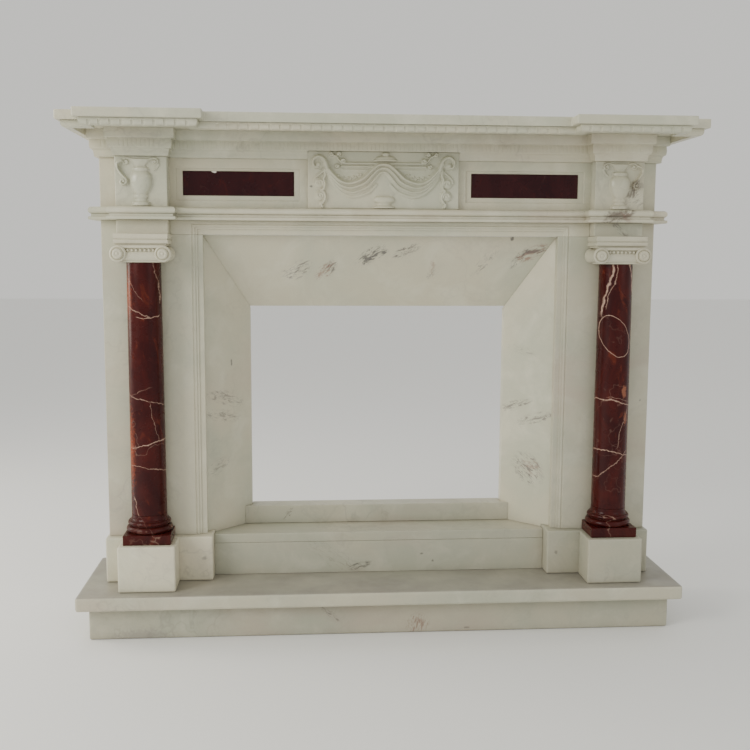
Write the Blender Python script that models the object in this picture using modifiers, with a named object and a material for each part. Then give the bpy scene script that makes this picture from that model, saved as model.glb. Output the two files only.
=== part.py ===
"""A carved white marble fireplace mantel with dark red marble columns and inlays.

Metres, +Z up. The front faces -Y and the flat back stands against the wall. The origin is on the
ground, in the middle of the footprint's bounding box. A depth is measured forwards from the face
plane, which is the front of the leg boards and of the frieze board.
"""
import math

import bmesh
import bpy
from mathutils import Matrix, Vector

# Clearance left between two pieces that touch
GAP = 0.0003
WELD = 0.00001

# Heights of the courses, from the ground up
BASE_HEIGHT = 0.083
HEARTH_THICKNESS = 0.037
PLINTH_HEIGHT = 0.1185
LEG_HEIGHT = 0.7833
LINTEL_HEIGHT = 0.0347
STRING_HEIGHT = 0.0325
FRIEZE_HEIGHT = 0.123
BED_HEIGHT = 0.066
SHELF_THICKNESS = 0.022

# The body of the mantel, and how far it stands out from the wall
BODY_WIDTH = 1.428
WALL_TO_FACE = 0.200
BOARD_THICKNESS = 0.032
SIDE_BOARD_THICKNESS = 0.024

# Hearth, and how far it stands out past the body on each side
HEARTH_SIDE_OVERHANG = 0.063
HEARTH_PROJECTION = 0.142
BASE_RECESS_SIDE = 0.027
BASE_RECESS_FRONT = 0.032
HEARTH_ARRIS = 0.006

# Legs
LEG_BOARD_WIDTH = 0.253
PLINTH_OVERHANG_OUTER = 0.007
PLINTH_OVERHANG_INNER = 0.016
PLINTH_PROJECTION = 0.022
PLINTH_ARRIS = 0.004

# Columns: how far the axis stands in from the body's side, and what is under and over the shaft
COLUMN_INSET = 0.110
COLUMN_DEPTH = 0.035
COLUMN_BLOCK_WIDTH = 0.144
COLUMN_BLOCK_PROJECTION = 0.109
COLUMN_BLOCK_HEIGHT = 0.1185
COLUMN_PLINTH_WIDTH = 0.120
COLUMN_PLINTH_PROJECTION = 0.0925
COLUMN_PLINTH_HEIGHT = 0.0255
TORUS_RADIUS = 0.0585
TORUS_HEIGHT = 0.0165
UPPER_RING_RADIUS = 0.0545
UPPER_RING_HEIGHT = 0.0095
SCOTIA_DEPTH = 0.0045
SCOTIA_HEIGHT = 0.0035
BASE_FLARE_HEIGHT = 0.0165
SHAFT_FOOT_RADIUS = 0.0445
SHAFT_TOP_RADIUS = 0.0425
SHAFT_SWELL = 0.0006

# Capitals
CAPITAL_WIDTH = 0.153
CAPITAL_HEIGHT = 0.042
CAPITAL_PROJECTION = 0.0875
CAPITAL_FILLET = 0.0035
VOLUTE_DISC_RADIUS = 0.0148
VOLUTE_DISC_RAISE = 0.0035
VOLUTE_EYE_RADIUS = 0.0045
VOLUTE_RING_WIDTH = 0.0035
BOLSTER_WAIST = 0.0035
CHANNEL_SINK = 0.004
ABACUS_WIDTH = 0.135
ABACUS_PROJECTION = 0.081
ABACUS_UPPER_HEIGHT = 0.0125
ABACUS_LOWER_HEIGHT = 0.0105
ABACUS_GROOVE = 0.002
ABACUS_NECK_HEIGHT = 0.0035
ABACUS_NECK_INSET = 0.004
IMPOST_WIDTH = 0.126
IMPOST_PROJECTION = 0.0416
CORNER_BLOCK_WIDTH = 0.127
BLOCK_OFFSET = 0.001

# The stepped moulding round the opening's edge of the legs and the lintel
EDGE_MOULD_WIDTH = 0.028
EDGE_STEP_DEPTH = 0.008
EDGE_BAND_WIDTH = 0.0135
EDGE_QUIRK_WIDTH = 0.002
EDGE_QUIRK_DEPTH = 0.0045

# The splayed reveal, which runs inwards and backwards by the same amount
REVEAL_RUN = 0.113
REVEAL_DROP = 0.1878
REVEAL_START = 0.002
CHEEK_THICKNESS = 0.020
HEAD_THICKNESS = 0.020

# Raised inner hearth and the low curb at the opening
STEP_SETBACK = 0.025
TREAD_THICKNESS = 0.025
TREAD_DROP = 0.0071
CURB_SETBACK = 0.126
CURB_DEPTH = 0.054
CURB_HEIGHT = 0.050

# String course, and the width and depth of its breaks over the columns
STRING_PROJECTION = 0.026
STRING_WAIST_INSET = 0.006
STRING_TORUS_HEIGHT = 0.0185
STRING_WAIST_HEIGHT = 0.0040
BREAK_WIDTH = 0.116
BREAK_DEPTH = 0.0416

# Frieze: the sunk panels between tablet and corner blocks, and their red inlays
PANEL_MARGIN_INNER = 0.020
PANEL_MARGIN_OUTER = 0.0175
PANEL_MARGIN_BOTTOM = 0.018
PANEL_MARGIN_TOP = 0.024
PANEL_SINK = 0.004
INLAY_MARGIN_INNER = 0.015
INLAY_MARGIN_OUTER = 0.016
INLAY_MARGIN_BOTTOM = 0.013
INLAY_MARGIN_TOP = 0.007
INLAY_BED = 0.008
INLAY_RAISE = 0.0015

# Centre tablet
TABLET_WIDTH = 0.386
TABLET_HEIGHT = 0.143
TABLET_PROJECTION = 0.012

# Bed mould: heights from the bottom up, and projections from the face plane
BED_FILLET_HEIGHT = 0.006
BED_COVE_HEIGHT = 0.013
BED_BAND_HEIGHT = 0.023
BED_FILLET_PROJECTION = 0.010
BED_COVE_PROJECTION = 0.0165
BED_BAND_PROJECTION = 0.020
BED_FASCIA_PROJECTION = 0.026

# Shelf slab with its breaks over the columns, and the dentil strip under its edge
SHELF_SIDE_OVERHANG = 0.061
SHELF_PROJECTION = 0.196
SHELF_BREAK_PROJECTION = 0.247
SHELF_BREAK_INWARDS = 0.170
SHELF_BREAK_OUTWARDS = 0.120
SHELF_ARRIS = 0.003
DENTIL_INSET = 0.012
DENTIL_STRIP_HEIGHT = 0.0157
DENTIL_BACK_CLEARANCE = 0.0005
DENTIL_PITCH = 0.0245
DENTIL_GAP = 0.0095
DENTIL_CUT = 0.005
DENTIL_FOOT = 0.004

# Carved urn on each corner block
URN_HEIGHT = 0.108
URN_RADIUS = 0.0285
URN_RELIEF = 0.62
HANDLE_THICKNESS = 0.0065

# Levels worked out from the heights
LEVEL_HEARTH_BOTTOM = BASE_HEIGHT
LEVEL_HEARTH = LEVEL_HEARTH_BOTTOM + HEARTH_THICKNESS
LEVEL_LEG = LEVEL_HEARTH + PLINTH_HEIGHT
LEVEL_LINTEL = LEVEL_LEG + LEG_HEIGHT
LEVEL_STRING = LEVEL_LINTEL + LINTEL_HEIGHT
LEVEL_FRIEZE = LEVEL_STRING + STRING_HEIGHT
LEVEL_BED = LEVEL_FRIEZE + FRIEZE_HEIGHT
LEVEL_SHELF = LEVEL_BED + BED_HEIGHT
LEVEL_TOP = LEVEL_SHELF + SHELF_THICKNESS
LEVEL_TREAD = LEVEL_LEG - TREAD_DROP
LEVEL_CURB = LEVEL_TREAD + CURB_HEIGHT
LEVEL_COLUMN = LEVEL_HEARTH + COLUMN_BLOCK_HEIGHT
LEVEL_COLUMN_PLINTH = LEVEL_COLUMN + COLUMN_PLINTH_HEIGHT
LEVEL_ABACUS = LEVEL_LINTEL - ABACUS_UPPER_HEIGHT - ABACUS_GROOVE - ABACUS_LOWER_HEIGHT
LEVEL_CAPITAL = LEVEL_ABACUS - ABACUS_NECK_HEIGHT - CAPITAL_HEIGHT

# Plan positions worked out from the widths
HALF_BODY = BODY_WIDTH / 2
LEG_INNER_X = HALF_BODY - LEG_BOARD_WIDTH
HALF_SHELF = HALF_BODY + SHELF_SIDE_OVERHANG
HALF_HEARTH = HALF_BODY + HEARTH_SIDE_OVERHANG
COLUMN_X = HALF_BODY - COLUMN_INSET
BLOCK_X = COLUMN_X + BLOCK_OFFSET
IMPOST_INNER_X = BLOCK_X - IMPOST_WIDTH / 2
PLINTH_INNER_X = LEG_INNER_X - PLINTH_OVERHANG_INNER
PLINTH_OUTER_X = HALF_BODY + PLINTH_OVERHANG_OUTER
BACK_DEPTH = -WALL_TO_FACE
BOARD_BACK = -BOARD_THICKNESS
REVEAL_X = LEG_INNER_X + REVEAL_START
REVEAL_DEPTH = BOARD_BACK - GAP
HALF_OPENING = REVEAL_X - REVEAL_RUN
OPENING_TOP = LEVEL_LINTEL - REVEAL_DROP
PANEL_INNER_X = TABLET_WIDTH / 2 + PANEL_MARGIN_INNER
PANEL_OUTER_X = BLOCK_X - CORNER_BLOCK_WIDTH / 2 - PANEL_MARGIN_OUTER
DENTIL_STRIP_DEPTH = SHELF_SIDE_OVERHANG - DENTIL_INSET - BED_FASCIA_PROJECTION - DENTIL_BACK_CLEARANCE
FACE_Y = (WALL_TO_FACE + SHELF_BREAK_PROJECTION) / 2 - WALL_TO_FACE

ROUND_STEPS = 24
SIDES = {"left": -1, "right": 1}


def y_of(depth):
    """The world Y of a depth in front of the face plane."""
    return FACE_Y - depth


def clear_scene():
    for old in list(bpy.data.objects):
        bpy.data.objects.remove(old, do_unlink=True)


def collection(name):
    made = bpy.data.collections.new(name)
    bpy.context.scene.collection.children.link(made)
    return made


def marble(name, colour, roughness):
    """A polished stone."""
    made = bpy.data.materials.new(name)
    made.use_nodes = True
    shader = made.node_tree.nodes["Principled BSDF"]
    shader.inputs["Base Color"].default_value = (*colour, 1)
    shader.inputs["Roughness"].default_value = roughness
    shader.inputs["Metallic"].default_value = 0
    return made


clear_scene()
PARTS = collection("fireplace_mantel")
CUTTERS = collection("cutters")
WHITE = marble("white_marble", (0.74, 0.73, 0.69), 0.35)
RED = marble("red_marble", (0.16, 0.035, 0.03), 0.18)
DARK_RED = marble("dark_red_inlay", (0.07, 0.018, 0.016), 0.22)


def add_object(name, mesh, material, home=PARTS):
    made = bpy.data.objects.new(name, mesh)
    mesh.materials.clear()
    mesh.materials.append(material)
    home.objects.link(made)
    return made


def add_cutter(name, mesh):
    """A hidden object that a Boolean modifier reads."""
    made = add_object(name, mesh, WHITE, CUTTERS)
    made.hide_render = True
    made.display_type = "WIRE"
    return made


def mesh_from(shape, name):
    """Turns a bmesh into a mesh with its faces pointing outwards."""
    bmesh.ops.recalc_face_normals(shape, faces=shape.faces[:])
    if shape.calc_volume(signed=True) < 0:
        bmesh.ops.reverse_faces(shape, faces=shape.faces[:])
    mesh = bpy.data.meshes.new(name)
    shape.to_mesh(mesh)
    shape.free()
    return mesh


def box_mesh(name, x_range, depth_range, z_range):
    """A box between two x values, two depths and two heights."""
    shape = bmesh.new()
    bmesh.ops.create_cube(shape, size=1)
    size = (abs(x_range[1] - x_range[0]), depth_range[1] - depth_range[0], z_range[1] - z_range[0])
    middle = (sum(x_range) / 2, y_of(sum(depth_range) / 2), sum(z_range) / 2)
    bmesh.ops.scale(shape, vec=size, verts=shape.verts)
    bmesh.ops.translate(shape, vec=middle, verts=shape.verts)
    return mesh_from(shape, name)


def box(name, x_range, depth_range, z_range, material=WHITE, arris=0.0):
    made = add_object(name, box_mesh(name, x_range, depth_range, z_range), material)
    soften(made, arris)
    return made


def soften(piece, arris, segments=2):
    """Rounds the sharp edges by a small arris."""
    if arris > 0:
        bevel = piece.modifiers.new("arris", "BEVEL")
        bevel.width = arris
        bevel.segments = segments
        bevel.limit_method = "ANGLE"
        bevel.angle_limit = math.radians(40)


def combine(piece, operation, mesh, name, curled=False):
    """Adds or cuts a shape by a Boolean modifier. A curled rod may touch itself."""
    other = add_cutter(name, mesh)
    boolean = piece.modifiers.new(name, "BOOLEAN")
    boolean.operation = operation
    boolean.solver = "EXACT"
    boolean.use_self = curled
    boolean.object = other
    return piece


def evaluated_mesh(piece, name):
    depsgraph = bpy.context.evaluated_depsgraph_get()
    depsgraph.update()
    return bpy.data.meshes.new_from_object(piece.evaluated_get(depsgraph), depsgraph=depsgraph)


def settle(piece, helpers=()):
    """Keeps the shape that the modifiers made, and removes the helpers that they read."""
    mesh = evaluated_mesh(piece, piece.name)
    piece.modifiers.clear()
    old = piece.data
    piece.data = mesh
    bpy.data.meshes.remove(old)
    for helper in helpers:
        bpy.data.objects.remove(helper, do_unlink=True)
    return piece


def outline_mesh(name, points, thickness, matrix):
    """A flat outline in its own XY plane, thickened evenly to both sides, then placed by a matrix."""
    curve = bpy.data.curves.new(name, "CURVE")
    curve.dimensions = "2D"
    curve.fill_mode = "BOTH"
    curve.extrude = thickness / 2
    spline = curve.splines.new("POLY")
    spline.points.add(len(points) - 1)
    for point, place in zip(spline.points, points):
        point.co = (place[0], place[1], 0, 1)
    spline.use_cyclic_u = True
    holder = bpy.data.objects.new(name, curve)
    CUTTERS.objects.link(holder)
    mesh = evaluated_mesh(holder, name)
    bpy.data.objects.remove(holder, do_unlink=True)
    shape = bmesh.new()
    shape.from_mesh(mesh)
    bmesh.ops.remove_doubles(shape, verts=shape.verts, dist=WELD)
    # The fill's triangles become one face again, so that an arris runs true along the edge
    bmesh.ops.dissolve_limit(shape, angle_limit=math.radians(1), verts=shape.verts, edges=shape.edges)
    bmesh.ops.transform(shape, matrix=matrix, verts=shape.verts)
    return mesh_from(shape, name)


def plan_mesh(name, outline, z_range):
    """A prism over a plan outline of (x, depth) points."""
    points = [(x, y_of(depth)) for x, depth in outline]
    middle = Matrix.Translation((0, 0, sum(z_range) / 2))
    return outline_mesh(name, points, z_range[1] - z_range[0], middle)


def front_mesh(name, outline, depth_range):
    """A prism over an outline of (x, z) points, between two depths."""
    turn = Matrix.Rotation(math.radians(90), 4, "X")
    middle = Matrix.Translation((0, y_of(sum(depth_range) / 2), 0))
    return outline_mesh(name, outline, depth_range[1] - depth_range[0], middle @ turn)


def profile_mesh(name, outline, x_range):
    """A prism over an outline of (depth, z) points, between two x values."""
    points = [(y_of(depth), z) for depth, z in outline]
    turn = Matrix(((0, 0, 1, 0), (1, 0, 0, 0), (0, 1, 0, 0), (0, 0, 0, 1)))
    middle = Matrix.Translation((sum(x_range) / 2, 0, 0))
    return outline_mesh(name, points, x_range[1] - x_range[0], middle @ turn)


def mitred_run(name, path, section):
    """Sweeps a closed section of (projection, z) along a plan path of (x, depth), mitred at corners.

    The path runs clockwise round the front when seen from above, so the section's projection grows
    outwards. Blender's curves don't mitre a heavy section truly, so the rings are placed by hand.
    """
    shape = bmesh.new()
    rings = []
    for index, (x, depth) in enumerate(path):
        normals = []
        for a, b in ((index - 1, index), (index, index + 1)):
            if 0 <= a and b < len(path):
                run = Vector((path[b][0] - path[a][0], path[b][1] - path[a][1])).normalized()
                normals.append(Vector((-run.y, run.x)))
        offset = normals[0] if len(normals) == 1 else (normals[0] + normals[1]) / (1 + normals[0].dot(normals[1]))
        rings.append([shape.verts.new((x + offset.x * out, y_of(depth + offset.y * out), z)) for out, z in section])
    for ring, following in zip(rings, rings[1:]):
        for index in range(len(section)):
            after = (index + 1) % len(section)
            shape.faces.new((ring[index], ring[after], following[after], following[index]))
    shape.faces.new(rings[0])
    shape.faces.new(rings[-1])
    return mesh_from(shape, name)


def stepped_mesh(name, x_range, back, front, levels):
    """A block of straight plan, whose front and sides step in by an inset at each (z, inset) level."""
    shape = bmesh.new()
    low_x, high_x = sorted(x_range)
    rings = []
    for z, inset in levels:
        corners = ((low_x + inset, back), (low_x + inset, front - inset),
                   (high_x - inset, front - inset), (high_x - inset, back))
        rings.append([shape.verts.new((x, y_of(depth), z)) for x, depth in corners])
    for ring, following in zip(rings, rings[1:]):
        for index in range(3):
            shape.faces.new((ring[index], ring[index + 1], following[index + 1], following[index]))
    # The back is one flat face over the whole stepped outline
    shape.faces.new([ring[0] for ring in rings] + [ring[3] for ring in reversed(rings)])
    shape.faces.new(rings[0])
    shape.faces.new(rings[-1])
    return mesh_from(shape, name)


def turned_mesh(name, profile, matrix, steps=ROUND_STEPS):
    """Turns a (radius, height) profile, top to bottom, about its own Z, then places it."""
    shape = bmesh.new()
    points = [shape.verts.new((radius, 0, height)) for radius, height in profile]
    for a, b in zip(points, points[1:]):
        shape.edges.new((a, b))
    outline = bpy.data.meshes.new(name)
    shape.to_mesh(outline)
    shape.free()
    holder = bpy.data.objects.new(name, outline)
    CUTTERS.objects.link(holder)
    screw = holder.modifiers.new("turn", "SCREW")
    screw.steps = steps
    screw.render_steps = steps
    screw.use_merge_vertices = True
    screw.merge_threshold = WELD
    mesh = evaluated_mesh(holder, name)
    bpy.data.objects.remove(holder, do_unlink=True)
    shape = bmesh.new()
    shape.from_mesh(mesh)
    bmesh.ops.remove_doubles(shape, verts=shape.verts, dist=WELD)
    bmesh.ops.transform(shape, matrix=matrix, verts=shape.verts)
    return mesh_from(shape, name)


def tube_mesh(name, points, thickness, resolution=1, matrix=Matrix.Identity(4)):
    """A round rod through a list of points, as a curve with filled caps."""
    curve = bpy.data.curves.new(name, "CURVE")
    curve.dimensions = "3D"
    curve.bevel_depth = thickness / 2
    curve.bevel_resolution = resolution
    curve.use_fill_caps = True
    spline = curve.splines.new("POLY")
    spline.points.add(len(points) - 1)
    for point, place in zip(spline.points, points):
        point.co = (*place, 1)
    holder = bpy.data.objects.new(name, curve)
    CUTTERS.objects.link(holder)
    mesh = evaluated_mesh(holder, name)
    bpy.data.objects.remove(holder, do_unlink=True)
    shape = bmesh.new()
    shape.from_mesh(mesh)
    bmesh.ops.remove_doubles(shape, verts=shape.verts, dist=WELD)
    bmesh.ops.transform(shape, matrix=matrix, verts=shape.verts)
    return mesh_from(shape, name)


def smooth_path(knots, per_span=4):
    """Points on a smooth curve through the knots."""
    ends = [knots[0], *knots, knots[-1]]
    points = []
    for before, start, end, after in zip(ends, ends[1:], ends[2:], ends[3:]):
        for step in range(per_span):
            t = step / per_span
            point = []
            for p0, p1, p2, p3 in zip(before, start, end, after):
                bend = 2 * p0 - 5 * p1 + 4 * p2 - p3
                rate = -p0 + 3 * p1 - 3 * p2 + p3
                point.append((2 * p1 + (p2 - p0) * t + bend * t * t + rate * t ** 3) / 2)
            points.append(tuple(point))
    points.append(tuple(knots[-1]))
    return points


def sliced_mesh(mesh, point, normal):
    """Cuts a mesh flat, keeps the side that the normal points away from, and caps it."""
    shape = bmesh.new()
    shape.from_mesh(mesh)
    geometry = shape.verts[:] + shape.edges[:] + shape.faces[:]
    cut = bmesh.ops.bisect_plane(shape, geom=geometry, plane_co=point, plane_no=normal, clear_outer=True)
    rim = [item for item in cut["geom_cut"] if isinstance(item, bmesh.types.BMEdge)]
    bmesh.ops.edgenet_fill(shape, edges=rim)
    shape.normal_update()
    name = mesh.name
    bpy.data.meshes.remove(mesh)
    return mesh_from(shape, name)


def mirrored(side, x_range):
    return tuple(sorted(side * x for x in x_range))


def make_hearth():
    """The base, and the slab that overhangs it."""
    half = HALF_HEARTH
    base_half = half - BASE_RECESS_SIDE
    base_front = HEARTH_PROJECTION - BASE_RECESS_FRONT
    box("hearth_base", (-base_half, base_half), (BACK_DEPTH, base_front), (0, LEVEL_HEARTH_BOTTOM),
        arris=PLINTH_ARRIS)
    box("hearth_slab", (-half, half), (BACK_DEPTH, HEARTH_PROJECTION),
        (LEVEL_HEARTH_BOTTOM + GAP, LEVEL_HEARTH), arris=HEARTH_ARRIS)


def make_plinths(label, side):
    """The leg's wide plinth, and the block that stands in front of it under the column."""
    box(f"leg_plinth_{label}", mirrored(side, (PLINTH_INNER_X, PLINTH_OUTER_X)),
        (BACK_DEPTH, PLINTH_PROJECTION), (LEVEL_HEARTH + GAP, LEVEL_LEG), arris=PLINTH_ARRIS)
    half = COLUMN_BLOCK_WIDTH / 2
    box(f"column_block_{label}", mirrored(side, (COLUMN_X - half, COLUMN_X + half)),
        (PLINTH_PROJECTION + GAP, COLUMN_BLOCK_PROJECTION), (LEVEL_HEARTH + GAP, LEVEL_COLUMN),
        arris=PLINTH_ARRIS)


def arc_points(centre, radii, start, end, count):
    """Points on an elliptical arc, angles in degrees."""
    points = []
    for index in range(count + 1):
        angle = math.radians(start + (end - start) * index / count)
        points.append((centre[0] + radii[0] * math.cos(angle), centre[1] + radii[1] * math.sin(angle)))
    return points


def column_base_profile():
    """Half outline of the turned base, top to bottom: flare, upper ring, scotia and torus."""
    top = LEVEL_COLUMN_PLINTH + TORUS_HEIGHT + SCOTIA_HEIGHT + UPPER_RING_HEIGHT + BASE_FLARE_HEIGHT
    ring_top = top - BASE_FLARE_HEIGHT
    ring_middle = ring_top - UPPER_RING_HEIGHT / 2
    ring_bulge = UPPER_RING_HEIGHT / 2
    torus_top = LEVEL_COLUMN_PLINTH + TORUS_HEIGHT
    bulge = TORUS_HEIGHT / 2
    flare_radius = UPPER_RING_RADIUS - ring_bulge - SHAFT_FOOT_RADIUS
    flare_foot = (SHAFT_FOOT_RADIUS + flare_radius, top)
    profile = [(0, top)]
    profile += arc_points(flare_foot, (flare_radius, BASE_FLARE_HEIGHT), 180, 270, 4)
    profile += arc_points((UPPER_RING_RADIUS - ring_bulge, ring_middle), (ring_bulge, ring_bulge), 90, -90, 5)
    neck = TORUS_RADIUS - bulge - SCOTIA_DEPTH / 2
    profile += [(neck, torus_top + SCOTIA_HEIGHT), (neck, torus_top)]
    profile += arc_points((TORUS_RADIUS - bulge, torus_top - bulge), (bulge, bulge), 90, -90, 6)
    profile += [(0, LEVEL_COLUMN_PLINTH)]
    return profile, top


def behind_column(name):
    """A cutter that takes away what a round column would have behind the face plane."""
    reach = COLUMN_X + TORUS_RADIUS * 2
    return box_mesh(name, (-reach, reach), (BACK_DEPTH, GAP), (LEVEL_HEARTH, LEVEL_STRING))


def make_column(label, side):
    """The red base with its square plinth, and the shaft, flat where they meet the leg board."""
    axis = Matrix.Translation((side * COLUMN_X, y_of(COLUMN_DEPTH), 0))
    profile, shaft_foot = column_base_profile()
    base = add_object(f"column_base_{label}", turned_mesh("turned_base", profile, axis), RED)
    combine(base, "DIFFERENCE", behind_column(f"behind_base_{label}"), f"behind_base_{label}")
    half = COLUMN_PLINTH_WIDTH / 2
    # The plinth reaches into the torus by a little, so the union is one body
    plinth = box_mesh("plinth", mirrored(side, (COLUMN_X - half, COLUMN_X + half)),
                      (GAP, COLUMN_PLINTH_PROJECTION), (LEVEL_COLUMN + GAP, LEVEL_COLUMN_PLINTH + GAP))
    combine(base, "UNION", plinth, f"column_plinth_{label}")

    foot = shaft_foot + GAP
    head = LEVEL_CAPITAL - GAP
    profile = [(0, head)]
    for index in range(7):
        share = index / 6
        radius = SHAFT_TOP_RADIUS + (SHAFT_FOOT_RADIUS - SHAFT_TOP_RADIUS) * share
        radius += SHAFT_SWELL * math.sin(math.pi * share)
        profile.append((radius, head + (foot - head) * share))
    profile.append((0, foot))
    shaft = add_object(f"column_shaft_{label}", turned_mesh("turned_shaft", profile, axis), RED)
    combine(shaft, "DIFFERENCE", behind_column(f"behind_shaft_{label}"), f"behind_shaft_{label}")
    for piece in (base, shaft):
        settle(piece)
        piece.data.shade_smooth()
        piece.data.set_sharp_from_angle(angle=math.radians(35))


def make_capital(label, side):
    """An Ionic capital: a block with rolled ends, discs on the rolls and a two-slab abacus."""
    centre = side * COLUMN_X
    roll = CAPITAL_HEIGHT / 2
    level = LEVEL_CAPITAL + roll
    reach = CAPITAL_WIDTH / 2 - roll
    outline = arc_points((centre + reach, level), (roll, roll), -90, 90, 10)
    outline += arc_points((centre - reach, level), (roll, roll), 90, 270, 10)
    capital = add_object(f"capital_{label}", front_mesh("capital_body", outline, (GAP, CAPITAL_PROJECTION)), WHITE)

    inner = reach - VOLUTE_DISC_RADIUS - VOLUTE_RING_WIDTH
    channel = box_mesh("channel", (centre - inner, centre + inner),
                       (CAPITAL_PROJECTION - CHANNEL_SINK, CAPITAL_PROJECTION + CHANNEL_SINK),
                       (LEVEL_CAPITAL + CAPITAL_FILLET, LEVEL_ABACUS - ABACUS_NECK_HEIGHT - CAPITAL_FILLET * 2))
    combine(capital, "DIFFERENCE", channel, f"channel_{label}")
    for name, x in (("a", centre - reach), ("b", centre + reach)):
        raise_top = VOLUTE_DISC_RAISE
        profile = [(0, raise_top + 0.0015), (VOLUTE_EYE_RADIUS, raise_top + 0.0015),
                   (VOLUTE_EYE_RADIUS + 0.001, raise_top), (VOLUTE_DISC_RADIUS - 0.001, raise_top),
                   (VOLUTE_DISC_RADIUS, raise_top - 0.001), (VOLUTE_DISC_RADIUS, -0.006), (0, -0.006)]
        place = Matrix.Translation((x, y_of(CAPITAL_PROJECTION), level)) @ Matrix.Rotation(math.radians(90), 4, "X")
        combine(capital, "UNION", turned_mesh("disc", profile, place, 20), f"disc_{label}_{name}")

    top = LEVEL_LINTEL
    groove_top = top - ABACUS_UPPER_HEIGHT
    groove_bottom = groove_top - ABACUS_GROOVE
    levels = [(LEVEL_CAPITAL + CAPITAL_HEIGHT - CAPITAL_FILLET, ABACUS_NECK_INSET),
              (LEVEL_ABACUS, ABACUS_NECK_INSET), (LEVEL_ABACUS, 0.0015), (LEVEL_ABACUS + 0.002, 0),
              (groove_bottom, 0), (groove_bottom, ABACUS_GROOVE), (groove_top, ABACUS_GROOVE),
              (groove_top, 0.0015), (groove_top + 0.003, 0), (top, 0)]
    half = ABACUS_WIDTH / 2
    abacus = stepped_mesh("abacus", (centre - half, centre + half), GAP, ABACUS_PROJECTION, levels)
    combine(capital, "UNION", abacus, f"abacus_{label}")
    settle(capital)
    return capital


def make_impost(label, side):
    """The plain block between the capital and the string course."""
    x_range = mirrored(side, (IMPOST_INNER_X, IMPOST_INNER_X + IMPOST_WIDTH))
    box(f"impost_{label}", x_range, (GAP, IMPOST_PROJECTION), (LEVEL_LINTEL + GAP, LEVEL_STRING))


def edge_mould_cutter(name):
    """What the stepped moulding takes from the legs and the lintel, as one run with mitred corners.

    It is swept as a frame in the front plane, so it is laid out flat first: the run's outward
    direction is towards the opening, and its heights are depths.
    """
    out = LEG_INNER_X
    top = LEVEL_LINTEL
    low = LEVEL_HEARTH
    spare = 0.002
    # Each point: how far in from the opening's edge, and the depth there
    section = [(-spare, spare), (-spare, -EDGE_STEP_DEPTH), (EDGE_BAND_WIDTH, -EDGE_STEP_DEPTH),
               (EDGE_BAND_WIDTH, -EDGE_QUIRK_DEPTH)]
    bead_end = EDGE_MOULD_WIDTH - EDGE_QUIRK_WIDTH
    middle = (EDGE_BAND_WIDTH + bead_end) / 2
    section += [(middle, -EDGE_QUIRK_DEPTH), (middle, -EDGE_QUIRK_DEPTH / 3)]
    section += [(bead_end - EDGE_QUIRK_WIDTH, -EDGE_QUIRK_DEPTH / 8), (bead_end, -EDGE_QUIRK_DEPTH / 2),
                (EDGE_MOULD_WIDTH, -EDGE_QUIRK_DEPTH / 2), (EDGE_MOULD_WIDTH, spare)]
    shape = bmesh.new()
    corners = ((-out, low, -1, 0), (-out, top, -1, 1), (out, top, 1, 1), (out, low, 1, 0))
    rings = []
    for x, z, way_x, way_z in corners:
        rings.append([shape.verts.new((x + way_x * away, y_of(depth), z + way_z * away)) for away, depth in section])
    for ring, following in zip(rings, rings[1:]):
        for index in range(len(section)):
            after = (index + 1) % len(section)
            shape.faces.new((ring[index], ring[after], following[after], following[index]))
    shape.faces.new(rings[0])
    shape.faces.new(rings[-1])
    return mesh_from(shape, name)


def make_leg(label, side):
    """The leg's front board, notched at its inner top corner for the lintel, and its side return."""
    outline = [(LEG_INNER_X, LEVEL_LEG + GAP), (HALF_BODY, LEVEL_LEG + GAP), (HALF_BODY, LEVEL_STRING),
               (IMPOST_INNER_X + GAP, LEVEL_STRING), (IMPOST_INNER_X + GAP, LEVEL_LINTEL), (LEG_INNER_X, LEVEL_LINTEL)]
    outline = [(side * x, z) for x, z in outline]
    board = add_object(f"leg_board_{label}", front_mesh("board", outline, (BOARD_BACK, 0)), WHITE)
    combine(board, "DIFFERENCE", edge_mould_cutter(f"leg_mould_{label}"), f"leg_mould_{label}")
    settle(board)
    box(f"leg_side_{label}", mirrored(side, (HALF_BODY - SIDE_BOARD_THICKNESS, HALF_BODY)),
        (BACK_DEPTH, BOARD_BACK - GAP), (LEVEL_LEG + GAP, LEVEL_STRING))


def make_lintel():
    """The narrow board over the opening, between the imposts."""
    half = IMPOST_INNER_X
    board = box("lintel_board", (-half, half), (BOARD_BACK, 0), (LEVEL_LINTEL + GAP, LEVEL_STRING))
    combine(board, "DIFFERENCE", edge_mould_cutter("lintel_mould"), "lintel_mould")
    settle(board)


def reveal_directions():
    """The mitre line between cheek and head on the visible side, and a vector across the thickness."""
    along = Vector((-REVEAL_RUN, REVEAL_RUN, -REVEAL_DROP))
    slope_length = math.hypot(REVEAL_RUN, REVEAL_DROP)
    head_back = HEAD_THICKNESS * slope_length / REVEAL_DROP
    cheek_back = CHEEK_THICKNESS * math.sqrt(2)
    across = Vector((cheek_back, 0, head_back * REVEAL_DROP / REVEAL_RUN))
    return along, across, head_back, cheek_back


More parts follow.
